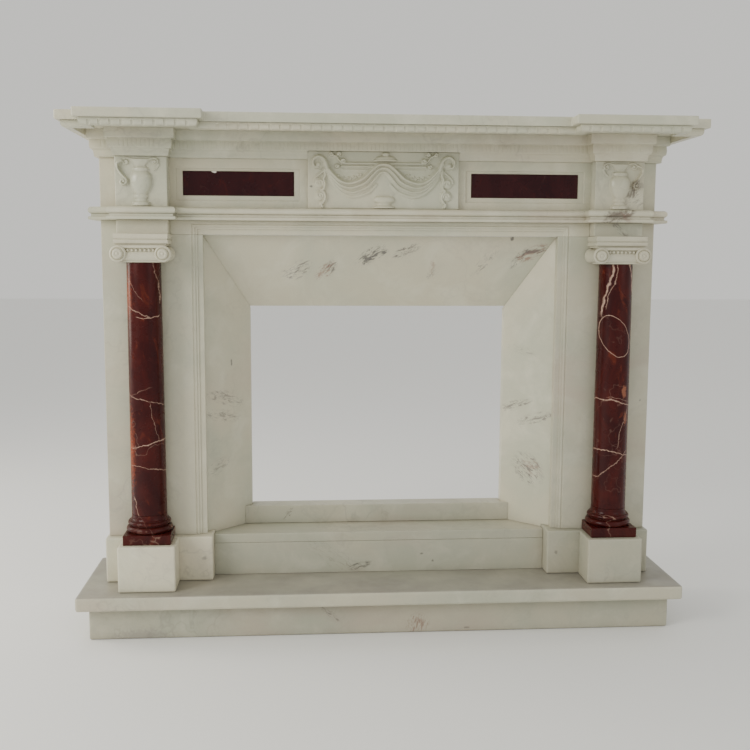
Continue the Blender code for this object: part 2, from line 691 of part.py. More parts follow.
def make_reveal():
    """The splayed cheeks and the sloping head, mitred together."""
    along, across, head_back, cheek_back = reveal_directions()
    inner_depth = REVEAL_DEPTH - REVEAL_RUN
    corner = Vector((REVEAL_X, y_of(REVEAL_DEPTH), LEVEL_LINTEL))
    normal = along.cross(across).normalized()
    spare = 0.1
    for label, side in SIDES.items():
        outline = [(REVEAL_X, REVEAL_DEPTH), (HALF_OPENING, inner_depth), (HALF_OPENING, inner_depth - cheek_back),
                   (REVEAL_X + cheek_back, REVEAL_DEPTH)]
        outline = [(side * x, depth) for x, depth in outline]
        away = Vector((side * normal.x, normal.y, normal.z))
        if away.z < 0:
            away = -away
        place = Vector((side * corner.x, corner.y, corner.z)) - away * GAP / 2
        mesh = plan_mesh("cheek", outline, (LEVEL_TREAD + GAP, LEVEL_LINTEL + spare))
        cheek = add_object(f"cheek_{label}", sliced_mesh(mesh, place, away), WHITE)
        notch = box_mesh("plinth_notch", mirrored(side, (PLINTH_INNER_X - GAP, PLINTH_OUTER_X)),
                         (BACK_DEPTH, 0), (LEVEL_HEARTH, LEVEL_LEG + GAP))
        combine(cheek, "DIFFERENCE", notch, f"plinth_notch_{label}")
        settle(cheek)
    profile = [(REVEAL_DEPTH, LEVEL_LINTEL), (inner_depth, OPENING_TOP), (inner_depth - head_back, OPENING_TOP),
               (REVEAL_DEPTH - head_back, LEVEL_LINTEL)]
    reach = REVEAL_X + spare
    mesh = profile_mesh("head", profile, (-reach, reach))
    for side in SIDES.values():
        away = Vector((side * normal.x, normal.y, normal.z))
        if away.z > 0:
            away = -away
        place = Vector((side * corner.x, corner.y, corner.z)) - away * GAP / 2
        mesh = sliced_mesh(mesh, place, away)
    add_object("splay_head", mesh, WHITE)


def make_step():
    """The raised inner hearth between the plinths, and the low curb at the opening."""
    half = PLINTH_INNER_X - GAP
    front = -STEP_SETBACK
    joint = LEVEL_TREAD - TREAD_THICKNESS
    box("step_riser", (-half, half), (BACK_DEPTH, front), (LEVEL_HEARTH + GAP, joint))
    box("step_tread", (-half, half), (BACK_DEPTH, front), (joint + GAP, LEVEL_TREAD), arris=0.0015)
    curb_front = -CURB_SETBACK
    curb_back = curb_front - CURB_DEPTH
    # The curb's ends are cut along the cheeks, then run straight behind them
    reveal_at = lambda depth: REVEAL_X + (depth - REVEAL_DEPTH)
    inner_depth = REVEAL_DEPTH - REVEAL_RUN
    slip = GAP * 1.5
    outline = []
    for side in (1, -1):
        points = [(side * (reveal_at(curb_front) - slip), curb_front), (side * (HALF_OPENING - slip), inner_depth),
                  (side * (HALF_OPENING - slip), curb_back)]
        outline += points if side == 1 else points[::-1]
    add_object("back_curb", plan_mesh("curb", outline, (LEVEL_TREAD + GAP, LEVEL_CURB)), WHITE)


def break_path():
    """The plan line of the face plane, from wall to wall, with the breaks over the columns."""
    half_break = BREAK_WIDTH / 2
    path = [(-HALF_BODY, BACK_DEPTH), (-HALF_BODY, 0)]
    for side, edges in ((-1, (half_break, -half_break)), (1, (-half_break, half_break))):
        first = side * COLUMN_X + (edges[0] if side > 0 else -edges[0])
        last = side * COLUMN_X + (edges[1] if side > 0 else -edges[1])
        path += [(first, 0), (first, BREAK_DEPTH), (last, BREAK_DEPTH), (last, 0)]
    path += [(HALF_BODY, 0), (HALF_BODY, BACK_DEPTH)]
    return path


def make_string_course():
    """A torus over a waist over a flat band, from wall to wall."""
    bottom = LEVEL_STRING + GAP
    top = LEVEL_FRIEZE
    torus_low = top - STRING_TORUS_HEIGHT
    waist_low = torus_low - STRING_WAIST_HEIGHT
    out = STRING_PROJECTION
    waist = out - STRING_WAIST_INSET
    back = -SIDE_BOARD_THICKNESS
    bulge = STRING_TORUS_HEIGHT * 0.42
    section = [(back, bottom), (out - 0.003, bottom), (out, bottom + 0.003), (out, waist_low - 0.001),
               (waist, waist_low), (waist, torus_low), (out - 0.003, torus_low + 0.001)]
    section += arc_points((out - bulge, top - bulge), (bulge, bulge), -40, 90, 5)
    section += [(back, top)]
    mesh = mitred_run("string_course", break_path(), section)
    add_object("string_course", mesh, WHITE)


def panel_range(side):
    return mirrored(side, (PANEL_INNER_X, PANEL_OUTER_X))


def make_frieze():
    """The frieze field with sunk panels, its red inlays and its end returns."""
    bottom = LEVEL_FRIEZE + GAP
    board = box("frieze_board", (-HALF_BODY, HALF_BODY), (BOARD_BACK, 0), (bottom, LEVEL_BED))
    low = LEVEL_FRIEZE + PANEL_MARGIN_BOTTOM
    high = LEVEL_BED - PANEL_MARGIN_TOP
    for label, side in SIDES.items():
        sunk = box_mesh("sunk_panel", panel_range(side), (-PANEL_SINK, PANEL_SINK), (low, high))
        combine(board, "DIFFERENCE", sunk, f"sunk_panel_{label}")
        x_range = mirrored(side, (PANEL_INNER_X + INLAY_MARGIN_INNER, PANEL_OUTER_X - INLAY_MARGIN_OUTER))
        z_range = (low + INLAY_MARGIN_BOTTOM, high - INLAY_MARGIN_TOP)
        pocket = box_mesh("pocket", x_range, (-PANEL_SINK - INLAY_BED, 0), z_range)
        combine(board, "DIFFERENCE", pocket, f"pocket_{label}")
        box(f"inlay_{label}", (x_range[0] + GAP, x_range[1] - GAP),
            (-PANEL_SINK - INLAY_BED + GAP, -PANEL_SINK + INLAY_RAISE), (z_range[0] + GAP, z_range[1] - GAP), DARK_RED)
        box(f"frieze_side_{label}", mirrored(side, (HALF_BODY - SIDE_BOARD_THICKNESS, HALF_BODY)),
            (BACK_DEPTH, BOARD_BACK - GAP), (bottom, LEVEL_BED))
    settle(board)


def urn_profile():
    """Half outline of the urn from lip to foot, as shares of its height and radius."""
    shares = ((0.0, 1.0), (0.36, 1.0), (0.52, 0.985), (0.40, 0.93), (0.52, 0.90), (0.54, 0.86), (0.36, 0.82),
              (0.70, 0.77), (0.95, 0.67), (1.0, 0.56), (0.92, 0.42), (0.66, 0.28), (0.40, 0.20), (0.34, 0.16),
              (0.50, 0.125), (0.46, 0.10), (0.78, 0.07), (0.86, 0.03), (0.86, 0.0), (0.0, 0.0))
    return [(r * URN_RADIUS, h * URN_HEIGHT) for r, h in shares]


def make_corner_block(label, side):
    """A frieze block over the column, carved with a two-handled urn."""
    half = CORNER_BLOCK_WIDTH / 2
    centre = side * BLOCK_X
    bottom = LEVEL_FRIEZE + GAP
    block = box(f"corner_block_{label}", (centre - half, centre + half), (GAP, BREAK_DEPTH), (bottom, LEVEL_BED))
    flatten = Matrix.Diagonal((1, URN_RELIEF, 1, 1))
    place = Matrix.Translation((centre, y_of(BREAK_DEPTH) + 0.001, bottom)) @ flatten
    combine(block, "UNION", turned_mesh("urn", urn_profile(), place, 16), f"urn_{label}")
    for hand, way in (("inner", -1), ("outer", 1)):
        # From the lip out and down, curling in to a small scroll beside the body
        knots = [(0.50, 0.92), (0.80, 0.95), (1.08, 0.84), (0.98, 0.66), (1.14, 0.54), (1.34, 0.60), (1.24, 0.72)]
        points = [(centre + way * r * URN_RADIUS, y_of(BREAK_DEPTH) - 0.001, bottom + h * URN_HEIGHT)
                  for r, h in smooth_path(knots, 2)]
        combine(block, "UNION", tube_mesh("handle", points, HANDLE_THICKNESS), f"handle_{label}_{hand}",
                curled=True)
    settle(block)


def tablet_piece(tablet, mesh, name):
    combine(tablet, "UNION", mesh, name, curled=True)
    settle(tablet, [bpy.data.objects[name]])


def tablet_rod(tablet, name, knots, thickness, lift, per_span=2):
    """A carved roll on the tablet, given by knots from the tablet's middle (x, z) and its own lift."""
    middle_z = LEVEL_FRIEZE + TABLET_HEIGHT / 2
    front = y_of(TABLET_PROJECTION + lift)
    for label, side in SIDES.items():
        points = [(side * x, front, middle_z + z) for x, z in smooth_path(knots, per_span)]
        tablet_piece(tablet, tube_mesh(name, points, thickness), f"{name}_{label}")


def make_tablet():
    """The carved centre tablet: a covered vessel on a foot, draped swags, scrolls and consoles."""
    half = TABLET_WIDTH / 2
    bottom = LEVEL_FRIEZE + GAP
    tablet = box("centre_tablet", (-half, half), (GAP, TABLET_PROJECTION), (bottom, bottom + TABLET_HEIGHT))
    middle_z = LEVEL_FRIEZE + TABLET_HEIGHT / 2
    front = y_of(TABLET_PROJECTION)

    vessel = [(0, 0.069), (0.004, 0.068), (0.006, 0.063), (0.003, 0.059), (0.022, 0.055), (0.030, 0.047),
              (0.024, 0.044), (0.036, 0.020), (0.044, 0.010), (0.040, -0.020), (0.026, -0.040), (0.015, -0.046),
              (0.024, -0.049), (0.022, -0.054), (0.012, -0.058), (0.025, -0.064), (0.026, -0.0710), (0, -0.0710)]
    flatten = Matrix.Diagonal((1, 0.45, 1, 1))
    place = Matrix.Translation((0, front + 0.001, middle_z)) @ flatten
    # Only the front half of the vessel stands out; its flat back ends inside the slab
    inside = Vector((0, y_of(TABLET_PROJECTION / 2), 0))
    body = sliced_mesh(turned_mesh("vessel", vessel, place, 16), inside, Vector((0, 1, 0)))
    tablet_piece(tablet, body, "vessel")
    for index, (reach, level) in enumerate(((0.108, 0.045), (0.100, 0.036), (0.090, 0.027))):
        points = [(-reach, front, middle_z + level), (reach, front, middle_z + level)]
        tablet_piece(tablet, tube_mesh("rim", points, 0.0075), f"rim_{index}")
    tablet_rod(tablet, "swag", [(0.004, 0.036), (0.045, 0.010), (0.088, -0.008), (0.128, 0.006), (0.152, 0.030)],
               0.0155, 0.001)
    tablet_rod(tablet, "swag_fold", [(0.030, 0.006), (0.062, -0.022), (0.090, -0.032), (0.118, -0.020),
                                     (0.142, 0.010)], 0.010, -0.001)
    tablet_rod(tablet, "hook", [(0.146, 0.036), (0.156, 0.056), (0.172, 0.060), (0.184, 0.046), (0.178, 0.028),
                                (0.164, 0.026)], 0.0085, 0.0)
    tablet_rod(tablet, "console", [(0.154, 0.014), (0.150, -0.010), (0.166, -0.026), (0.172, -0.044),
                                   (0.158, -0.060), (0.150, -0.050)], 0.010, 0.0)
    tablet_rod(tablet, "leaf", [(0.104, 0.046), (0.110, 0.060), (0.124, 0.066), (0.136, 0.060), (0.130, 0.048)],
               0.0075, 0.0)
    return tablet


def bed_section():
    """Fillet, cove, flat band and fascia, bottom to top."""
    bottom = LEVEL_BED + GAP
    fillet_top = bottom + BED_FILLET_HEIGHT
    cove_top = fillet_top + BED_COVE_HEIGHT
    band_top = cove_top + BED_BAND_HEIGHT
    cove_reach = BED_COVE_PROJECTION - BED_FILLET_PROJECTION
    section = [(-SIDE_BOARD_THICKNESS, bottom), (BED_FILLET_PROJECTION, bottom)]
    centre = (BED_FILLET_PROJECTION + cove_reach, fillet_top)
    section += arc_points(centre, (cove_reach, BED_COVE_HEIGHT), 180, 90, 4)
    section += [(BED_BAND_PROJECTION - 0.0015, cove_top), (BED_BAND_PROJECTION, band_top),
                (BED_FASCIA_PROJECTION, band_top), (BED_FASCIA_PROJECTION, LEVEL_SHELF),
                (-SIDE_BOARD_THICKNESS, LEVEL_SHELF)]
    return section


def make_bed_mould():
    """The stepped moulding under the shelf, notched for the top of the centre tablet."""
    bed = add_object("bed_mould", mitred_run("bed_mould", break_path(), bed_section()), WHITE)
    half = TABLET_WIDTH / 2 + GAP
    notch = box_mesh("tablet_notch", (-half, half), (0, BREAK_DEPTH + BED_FASCIA_PROJECTION),
                     (LEVEL_FRIEZE, LEVEL_FRIEZE + TABLET_HEIGHT + GAP * 2))
    combine(bed, "DIFFERENCE", notch, "tablet_notch")
    settle(bed)


def shelf_path():
    """The shelf's plan from wall to wall, with its breaks."""
    front = SHELF_PROJECTION
    out = SHELF_BREAK_PROJECTION
    inner = COLUMN_X - SHELF_BREAK_INWARDS
    outer = COLUMN_X + SHELF_BREAK_OUTWARDS
    right = [(inner, front), (inner, out), (outer, out), (outer, front), (HALF_SHELF, front),
             (HALF_SHELF, BACK_DEPTH)]
    left = [(-x, depth) for x, depth in reversed(right)]
    return left + right


def dentil_cutter():
    """One mesh of all the gaps between the dentils, along every straight run of the strip."""
    shape = bmesh.new()
    path = shelf_path()
    top = LEVEL_SHELF - GAP
    bottom = top - DENTIL_STRIP_HEIGHT
    spare = 0.004
    face = -DENTIL_INSET
    for index, ((x0, d0), (x1, d1)) in enumerate(zip(path, path[1:])):
        run = Vector((x1 - x0, d1 - d0))
        length = run.length
        run.normalize()
        out = Vector((-run.y, run.x))
        # At an outer corner the strip is shorter than the shelf's edge, at an inner one longer
        def turn(a, b, c):
            first = Vector((b[0] - a[0], b[1] - a[1]))
            second = Vector((c[0] - b[0], c[1] - b[1]))
            return -1 if first.x * second.y - first.y * second.x < 0 else 1
        start = 0 if index == 0 else DENTIL_INSET * -turn(path[index - 1], path[index], path[index + 1])
        end = length
        if index < len(path) - 2:
            end -= DENTIL_INSET * -turn(path[index], path[index + 1], path[index + 2])
        usable = end - start
        count = int(usable / DENTIL_PITCH)
        if count < 2:
            continue
        first = start + (usable - (count - 1) * DENTIL_PITCH) / 2
        for step in range(count):
            along = first + step * DENTIL_PITCH
            centre = Vector((x0, d0)) + run * along + out * (face + (spare - DENTIL_CUT) / 2)
            made = bmesh.ops.create_cube(shape, size=1)["verts"]
            wide, deep = DENTIL_GAP, DENTIL_CUT + spare
            size = (wide, deep) if abs(run.x) > 0.5 else (deep, wide)
            height = top - DENTIL_FOOT - (bottom - spare)
            middle = (top - DENTIL_FOOT + bottom - spare) / 2
            bmesh.ops.scale(shape, vec=(*size, height), verts=made)
            bmesh.ops.translate(shape, vec=(centre.x, y_of(centre.y), middle), verts=made)
    return mesh_from(shape, "dentil_gaps")


def make_dentil_strip():
    """The strip under the shelf's edge, with square dentils cut into its face."""
    top = LEVEL_SHELF - GAP
    bottom = top - DENTIL_STRIP_HEIGHT
    face = -DENTIL_INSET
    section = [(face - DENTIL_STRIP_DEPTH, bottom), (face - 0.004, bottom), (face, bottom + 0.006),
               (face, top), (face - DENTIL_STRIP_DEPTH, top)]
    strip = add_object("dentil_strip", mitred_run("dentil_strip", shelf_path(), section), WHITE)
    combine(strip, "DIFFERENCE", dentil_cutter(), "dentil_gaps")
    settle(strip)


def make_shelf():
    """The top slab."""
    slab = add_object("shelf_slab", plan_mesh("shelf", shelf_path(), (LEVEL_SHELF + GAP, LEVEL_TOP)), WHITE)
    soften(slab, SHELF_ARRIS)


make_hearth()
make_step()
for side_label, side_sign in SIDES.items():
    make_plinths(side_label, side_sign)
    make_column(side_label, side_sign)
    make_capital(side_label, side_sign)
    make_impost(side_label, side_sign)
    make_leg(side_label, side_sign)
    make_corner_block(side_label, side_sign)
make_lintel()
make_reveal()
make_string_course()
make_frieze()
make_tablet()
make_bed_mould()
make_dentil_strip()
make_shelf()
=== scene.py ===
# %% [markdown]
# This lesson dresses a carved marble fireplace mantel: white marble slabs and mouldings, two dark
# red marble columns, and two dark red inlays in the frieze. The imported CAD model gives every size
# and place, so nothing here is fitted by eye. Flat slabs keep their CAD solids and get softened
# edges and a marble material. Turned and carved parts are made again in finer mesh.

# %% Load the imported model
import math

import bmesh
import bpy
import numpy as np
from mathutils import Matrix, Vector


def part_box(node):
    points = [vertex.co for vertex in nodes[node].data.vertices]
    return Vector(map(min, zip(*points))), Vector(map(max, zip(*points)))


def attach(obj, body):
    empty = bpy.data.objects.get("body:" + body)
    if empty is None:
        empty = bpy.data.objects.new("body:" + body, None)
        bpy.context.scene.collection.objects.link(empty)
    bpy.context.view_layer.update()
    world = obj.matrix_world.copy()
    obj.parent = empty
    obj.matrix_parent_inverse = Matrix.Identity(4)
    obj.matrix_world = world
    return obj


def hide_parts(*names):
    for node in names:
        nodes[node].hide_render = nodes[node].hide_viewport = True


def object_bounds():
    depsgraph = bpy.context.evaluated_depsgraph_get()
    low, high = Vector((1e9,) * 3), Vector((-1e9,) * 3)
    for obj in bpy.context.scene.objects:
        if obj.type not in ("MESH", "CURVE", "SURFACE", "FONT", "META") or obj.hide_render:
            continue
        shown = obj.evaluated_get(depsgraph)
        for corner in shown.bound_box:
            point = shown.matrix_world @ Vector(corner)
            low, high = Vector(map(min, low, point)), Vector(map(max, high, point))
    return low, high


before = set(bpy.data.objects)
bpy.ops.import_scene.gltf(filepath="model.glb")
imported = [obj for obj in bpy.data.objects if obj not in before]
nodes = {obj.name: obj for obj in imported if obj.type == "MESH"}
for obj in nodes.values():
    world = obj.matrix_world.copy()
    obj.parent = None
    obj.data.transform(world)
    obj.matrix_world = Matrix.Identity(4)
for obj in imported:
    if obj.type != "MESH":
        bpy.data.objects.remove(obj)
cad_low, cad_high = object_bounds()
SIDES = {"left": -1, "right": 1}

# The plane of the leg boards' and the frieze's front; depths are measured forwards from it
FACE_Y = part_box("frieze_board")[0].y
print("packed nodes:", len(nodes), " box in mm:", [round(v * 1000) for v in cad_high - cad_low])


def y_of(depth):
    """World Y of a depth in front of the face plane."""
    return FACE_Y - depth


def mm(values):
    """Turns one number or a whole table from millimetres into metres."""
    return np.asarray(values) / 1000


def add_object(name, data):
    made = bpy.data.objects.new(name, data)
    bpy.context.scene.collection.objects.link(made)
    return made


# %% [markdown]
# The photograph was taken from a little left of the middle and at three quarters of the mantel's
# height, looking down by seven degrees. These values place a plain pinhole camera there. Its focal
# length is given in pixels of a frame 750 pixels wide, and the sensor turns that into millimetres.

# %% Camera
FRAME_PIXELS, FOCAL_PIXELS = 750, 977.7
CAMERA_X, CAMERA_DISTANCE, CAMERA_HEIGHT = -0.2070, 2.5364, 0.9678
CAMERA_YAW, CAMERA_PITCH, CAMERA_ROLL = 0.0739, 0.1204, -0.0044

lens = bpy.data.cameras.new("camera")
lens.sensor_width = 36
lens.lens = lens.sensor_width * FOCAL_PIXELS / FRAME_PIXELS
camera = add_object("camera", lens)
camera.location = (CAMERA_X, y_of(CAMERA_DISTANCE), CAMERA_HEIGHT)
turn = Matrix.Rotation(-CAMERA_YAW, 4, "Z") @ Matrix.Rotation(math.pi / 2 - CAMERA_PITCH, 4, "X")
camera.rotation_euler = (turn @ Matrix.Rotation(-CAMERA_ROLL, 4, "Z")).to_euler()
bpy.context.scene.camera = camera
print("lens", round(lens.lens, 1), "mm")

# %% [markdown]
# Shader nodes are easier to read as sums. A wire is the output of one node, and adding or
# multiplying wires puts the math nodes for it in the same tree.

# %% Wires
def plug(socket, value):
    """Links a wire into a socket, or sets the socket's own value."""
    if isinstance(value, Wire):
        value.tree.links.new(value.socket, socket)
    else:
        socket.default_value = value


def add_node(tree, kind, inputs=(), **settings):
    """Adds a node; inputs is a dict of socket name or number to a value or a wire."""
    made = tree.nodes.new(kind)
    for key, value in settings.items():
        setattr(made, key, value)
    for key, value in dict(inputs).items():
        plug(made.inputs[key], value)
    return made


class Wire:
    def __init__(self, tree, socket):
        self.tree, self.socket = tree, socket

    def node(self, kind, output, inputs=(), **settings):
        """Adds a node to the same tree and gives one of its outputs."""
        return Wire(self.tree, add_node(self.tree, kind, inputs, **settings).outputs[output])

    def calc(self, operation, *others):
        return self.node("ShaderNodeMath", 0, enumerate((self, *others)), operation=operation)

    def vector(self, operation, *others):
        output = "Value" if operation in ("DOT_PRODUCT", "LENGTH") else "Vector"
        second = "Scale" if operation == "SCALE" else 1
        return self.node("ShaderNodeVectorMath", output, zip((0, second), (self, *others)), operation=operation)

    def clamped(self):
        """Keeps the math node's result between 0 and 1."""
        self.socket.node.use_clamp = True
        return self

    def __add__(self, other):
        return self.calc("ADD", other)

    def __sub__(self, other):
        return self.calc("SUBTRACT", other)

    def __rsub__(self, number):
        return self.node("ShaderNodeMath", 0, {0: number, 1: self}, operation="SUBTRACT")

    def __mul__(self, other):
        return self.calc("MULTIPLY", other)

    def __truediv__(self, other):
        return self.calc("DIVIDE", other)


print("wires ready")

# %% [markdown]
# The other helpers are a noise, a smooth step, a mix of two colours, and a node group that turns a
# position into a mask. A group is made once and used in every marble.

# %% Noise, steps, tints and mask groups
def noise(place, scale, detail=4.0, roughness=0.55, distortion=0.0):
    inputs = {"Vector": place, "Scale": scale, "Detail": detail, "Roughness": roughness, "Distortion": distortion}
    return place.node("ShaderNodeTexNoise", "Fac", inputs)


def fade(value, low, high, at_low=0.0, at_high=1.0):
    """A smooth step from one value to another."""
    inputs = {"Value": value, "From Min": low, "From Max": high, "To Min": at_low, "To Max": at_high}
    return value.node("ShaderNodeMapRange", 0, inputs, interpolation_type="SMOOTHSTEP")


def tint(factor, below, above, mode="MIX"):
    """Mixes two colours."""
    tree = (factor if isinstance(factor, Wire) else below).tree
    first, second = (colour if isinstance(colour, Wire) else (*colour, 1) for colour in (below, above))
    made = add_node(tree, "ShaderNodeMix", {0: factor, 6: first, 7: second}, data_type="RGBA", blend_type=mode)
    return Wire(tree, made.outputs[2])


def mask_group(name, recipe, **inputs):
    """A group with a Position and the given inputs, whose output is what the recipe makes of them."""
    group = bpy.data.node_groups.new(name, "ShaderNodeTree")
    for label, value in {"Position": (0, 0, 0), **inputs}.items():
        kind = "NodeSocketVector" if isinstance(value, tuple) else "NodeSocketFloat"
        group.interface.new_socket(label, in_out="INPUT", socket_type=kind).default_value = value
    group.interface.new_socket("Mask", in_out="OUTPUT", socket_type="NodeSocketFloat")
    source, sink = group.nodes.new("NodeGroupInput"), group.nodes.new("NodeGroupOutput")
    given = [Wire(group, source.outputs[label]) for label in ("Position", *inputs)]
    plug(sink.inputs["Mask"], recipe(*given))
    print("group", name, "with", len(group.nodes), "nodes")
    return group


def mask(group, place, **inputs):
    """What a mask group gives at a place."""
    return place.node("ShaderNodeGroup", "Mask", {"Position": place, **inputs}, node_tree=group)


print("noise, steps, tints and groups ready")

# %% [markdown]
# Marble is limestone that was squeezed until it flowed, so its veins are thin sheets that wander.
# A noise field crossing its middle value draws such thin wandering lines. A second, larger noise
# lets them come and go in groups, because no slab is veined evenly all over.

# %% Group for a field of fine veins
def vein_field(place, scale, thinness, warp, cover):
    bend = place.node("ShaderNodeTexNoise", "Color", {"Vector": place, "Scale": 7.0, "Detail": 3.0})
    bend = bend.vector("SUBTRACT", (0.5, 0.5, 0.5)).vector("SCALE", warp)
    ridge = (noise(place.vector("ADD", bend), scale, 5.0, 0.6) - 0.5).calc("ABSOLUTE")
    line = (1.0 - ridge / thinness).clamped()
    patches = noise(place, 2.3, 2.0) - (1.0 - cover) * 0.8
    return line * (patches * 6.0).clamped()


VEIN_FIELD = mask_group("vein field", vein_field, Scale=3.0, Thinness=0.02, Warp=0.1, Cover=0.5)

# %% [markdown]
# The clear veins of the two columns run in known places. Each one is a wobbling flat sheet through
# the stone, so it shows as one line on any face that it meets. A small ragged patch made the same
# way gives a chip, a stain, a dark knot, or a patch of painted light or shade.

# %% Groups for one long vein and for one spot
def long_vein(place, point, normal, width, wobble, reach):
    offset = place.vector("SUBTRACT", point)
    wander = (noise(place, 18.0, 5.0, 0.65) - 0.5) * wobble
    bent = (offset.vector("DOT_PRODUCT", normal) + wander).calc("ABSOLUTE")
    line = (1.0 - bent / (width * (noise(place, 45.0, 3.0) + 0.5))).clamped()
    return line * ((1.25 - offset.vector("LENGTH") / reach) * 4.0).clamped()


def spot(place, centre, stretch, size, softness):
    away = place.vector("SUBTRACT", centre).vector("DIVIDE", stretch).vector("LENGTH")
    ragged = (noise(place, 160.0, 4.0) - 0.5) * 1.6
    return ((1.0 - (away / size + ragged)) / softness).clamped()


LONG_VEIN = mask_group("long vein", long_vein, Point=(0, 0, 0), Normal=(1, 0, 0), Width=0.002, Wobble=0.02,
                       Reach=0.1)
SPOT = mask_group("spot", spot, Centre=(0, 0, 0), Stretch=(1, 1, 1), Size=0.01, Softness=0.5)

# %% [markdown]
# Two more kinds are seen on the real stone. On the sloping head, short dark strokes lie together
# in small flocks, all drawn out in one direction: stretched noise inside a soft round mask. On the
# right column a pale vein closes into a leaning loop, which is what the shell of a ball looks like
# where the cylinder cuts it.

# %% Groups for a flock of strokes and for a closed loop
def leant(offset, angle):
    """Turns an offset about the line that runs front to back."""
    return offset.node("ShaderNodeVectorRotate", "Vector", {"Vector": offset, "Axis": (0, 1, 0), "Angle": angle})


def flock(place, centre, size, angle, density):
    turned = leant(place.vector("SUBTRACT", centre), angle)
    away = turned.vector("DIVIDE", size).vector("LENGTH")
    drawn = turned.vector("MULTIPLY", (30.0, 40.0, 125.0))
    drawn = drawn.vector("ADD", centre.vector("MULTIPLY", (37.0, 0.0, 91.0)))
    edge = (0.70 - density * 0.28) + away * 0.10
    blots = ((noise(drawn, 1.0, 4.0, 0.7, 0.6) - edge) * 14.0).clamped()
    ridge = (noise(drawn, 1.5, 3.0, 0.6, 0.4) - 0.5).calc("ABSOLUTE")
    hairs = (1.0 - ridge / 0.036).clamped() * fade(noise(drawn, 0.8, 2.0), 0.38, 0.54) * density
    return blots.calc("MAXIMUM", hairs) * ((1.2 - away) * 3.0).clamped()


def closed_loop(place, centre, radii, lean, width):
    away = leant(place.vector("SUBTRACT", centre), lean).vector("DIVIDE", radii).vector("LENGTH")
    wander = (noise(place, 34.0, 4.0, 0.6) - 0.5) * 0.22
    return (1.0 - (away + wander - 1.0).calc("ABSOLUTE") / width).clamped()


FLOCK = mask_group("flock of strokes", flock, Centre=(0, 0, 0), Size=(1, 1, 1), Angle=0.6, Density=0.5)
LOOP = mask_group("closed loop", closed_loop, Centre=(0, 0, 0), Radii=(1, 1, 1), Lean=0.0, Width=0.03)

# %% [markdown]
# Two masks come over the colour. Ambient occlusion darkens the recesses, which is partly dust and smoke
# that settle there and partly painted shade; hands and cloths wear the edges paler, which shows where
# a bevelled normal leaves the true one.
# Both masks are broken up by noise, or they would look like a drawn outline.

# %% Groups for grime and painted shade in recesses and for worn edges
def recess_grime_and_shade(place, reach, amount):
    hollow = place.node("ShaderNodeAmbientOcclusion", "AO", {"Distance": reach}, samples=6)
    patchy = fade(noise(place, 22.0, 5.0, 0.65), 0.3, 0.75, 0.45, 1.0)
    return ((1.0 - hollow) * patchy * amount).clamped()


def worn_edge(place, radius, amount):
    rounded = place.node("ShaderNodeBevel", "Normal", {"Radius": radius}, samples=4)
    match = rounded.vector("DOT_PRODUCT", place.node("ShaderNodeNewGeometry", "Normal"))
    return fade(match, 0.995, 0.9) * fade(noise(place, 60.0, 4.0, 0.6), 0.4, 0.65) * amount


# The first group darkens what occlusion finds: grime, and painted shade in the recesses.
RECESS_GRIME_AND_SHADE = mask_group("grime in recesses", recess_grime_and_shade, Reach=0.02, Amount=0.5)
WORN_EDGE = mask_group("worn edge", worn_edge, Radius=0.003, Amount=0.6)

# %% [markdown]
# Some blocks carry marks in known places. They are listed here by the name of the block's marble.
# Every length in the lists is in millimetres, and X, Y and Z are the world's. A flock is its
# centre, size, angle, density, colour and strength. A spot is its centre, size, stretch, colour
# and strength, and it may end with its softness.

# %% Marks on single blocks
VEIN_GREY = (0.210, 0.190, 0.170)
ROSE_BROWN = (0.290, 0.150, 0.120)
INK_GREY = (0.085, 0.080, 0.085)
FOOT_SHADOW_PURPLE = (0.25, 0.21, 0.22)
# Painted shadow: a purple-grey shade along the foot of the hearth base
DARK_MARK = (0.13, 0.10, 0.08)
# How far the blocks over the columns break forward, and how far the string course projects
BREAK_DEPTH, STRING_OUT = 0.0416, 0.026
# World Y of the boards' front, of the breaks' front, and of the string course on the breaks
FACE, BREAK, STRING = (y_of(depth) * 1000 for depth in (0.0, BREAK_DEPTH, BREAK_DEPTH + STRING_OUT))

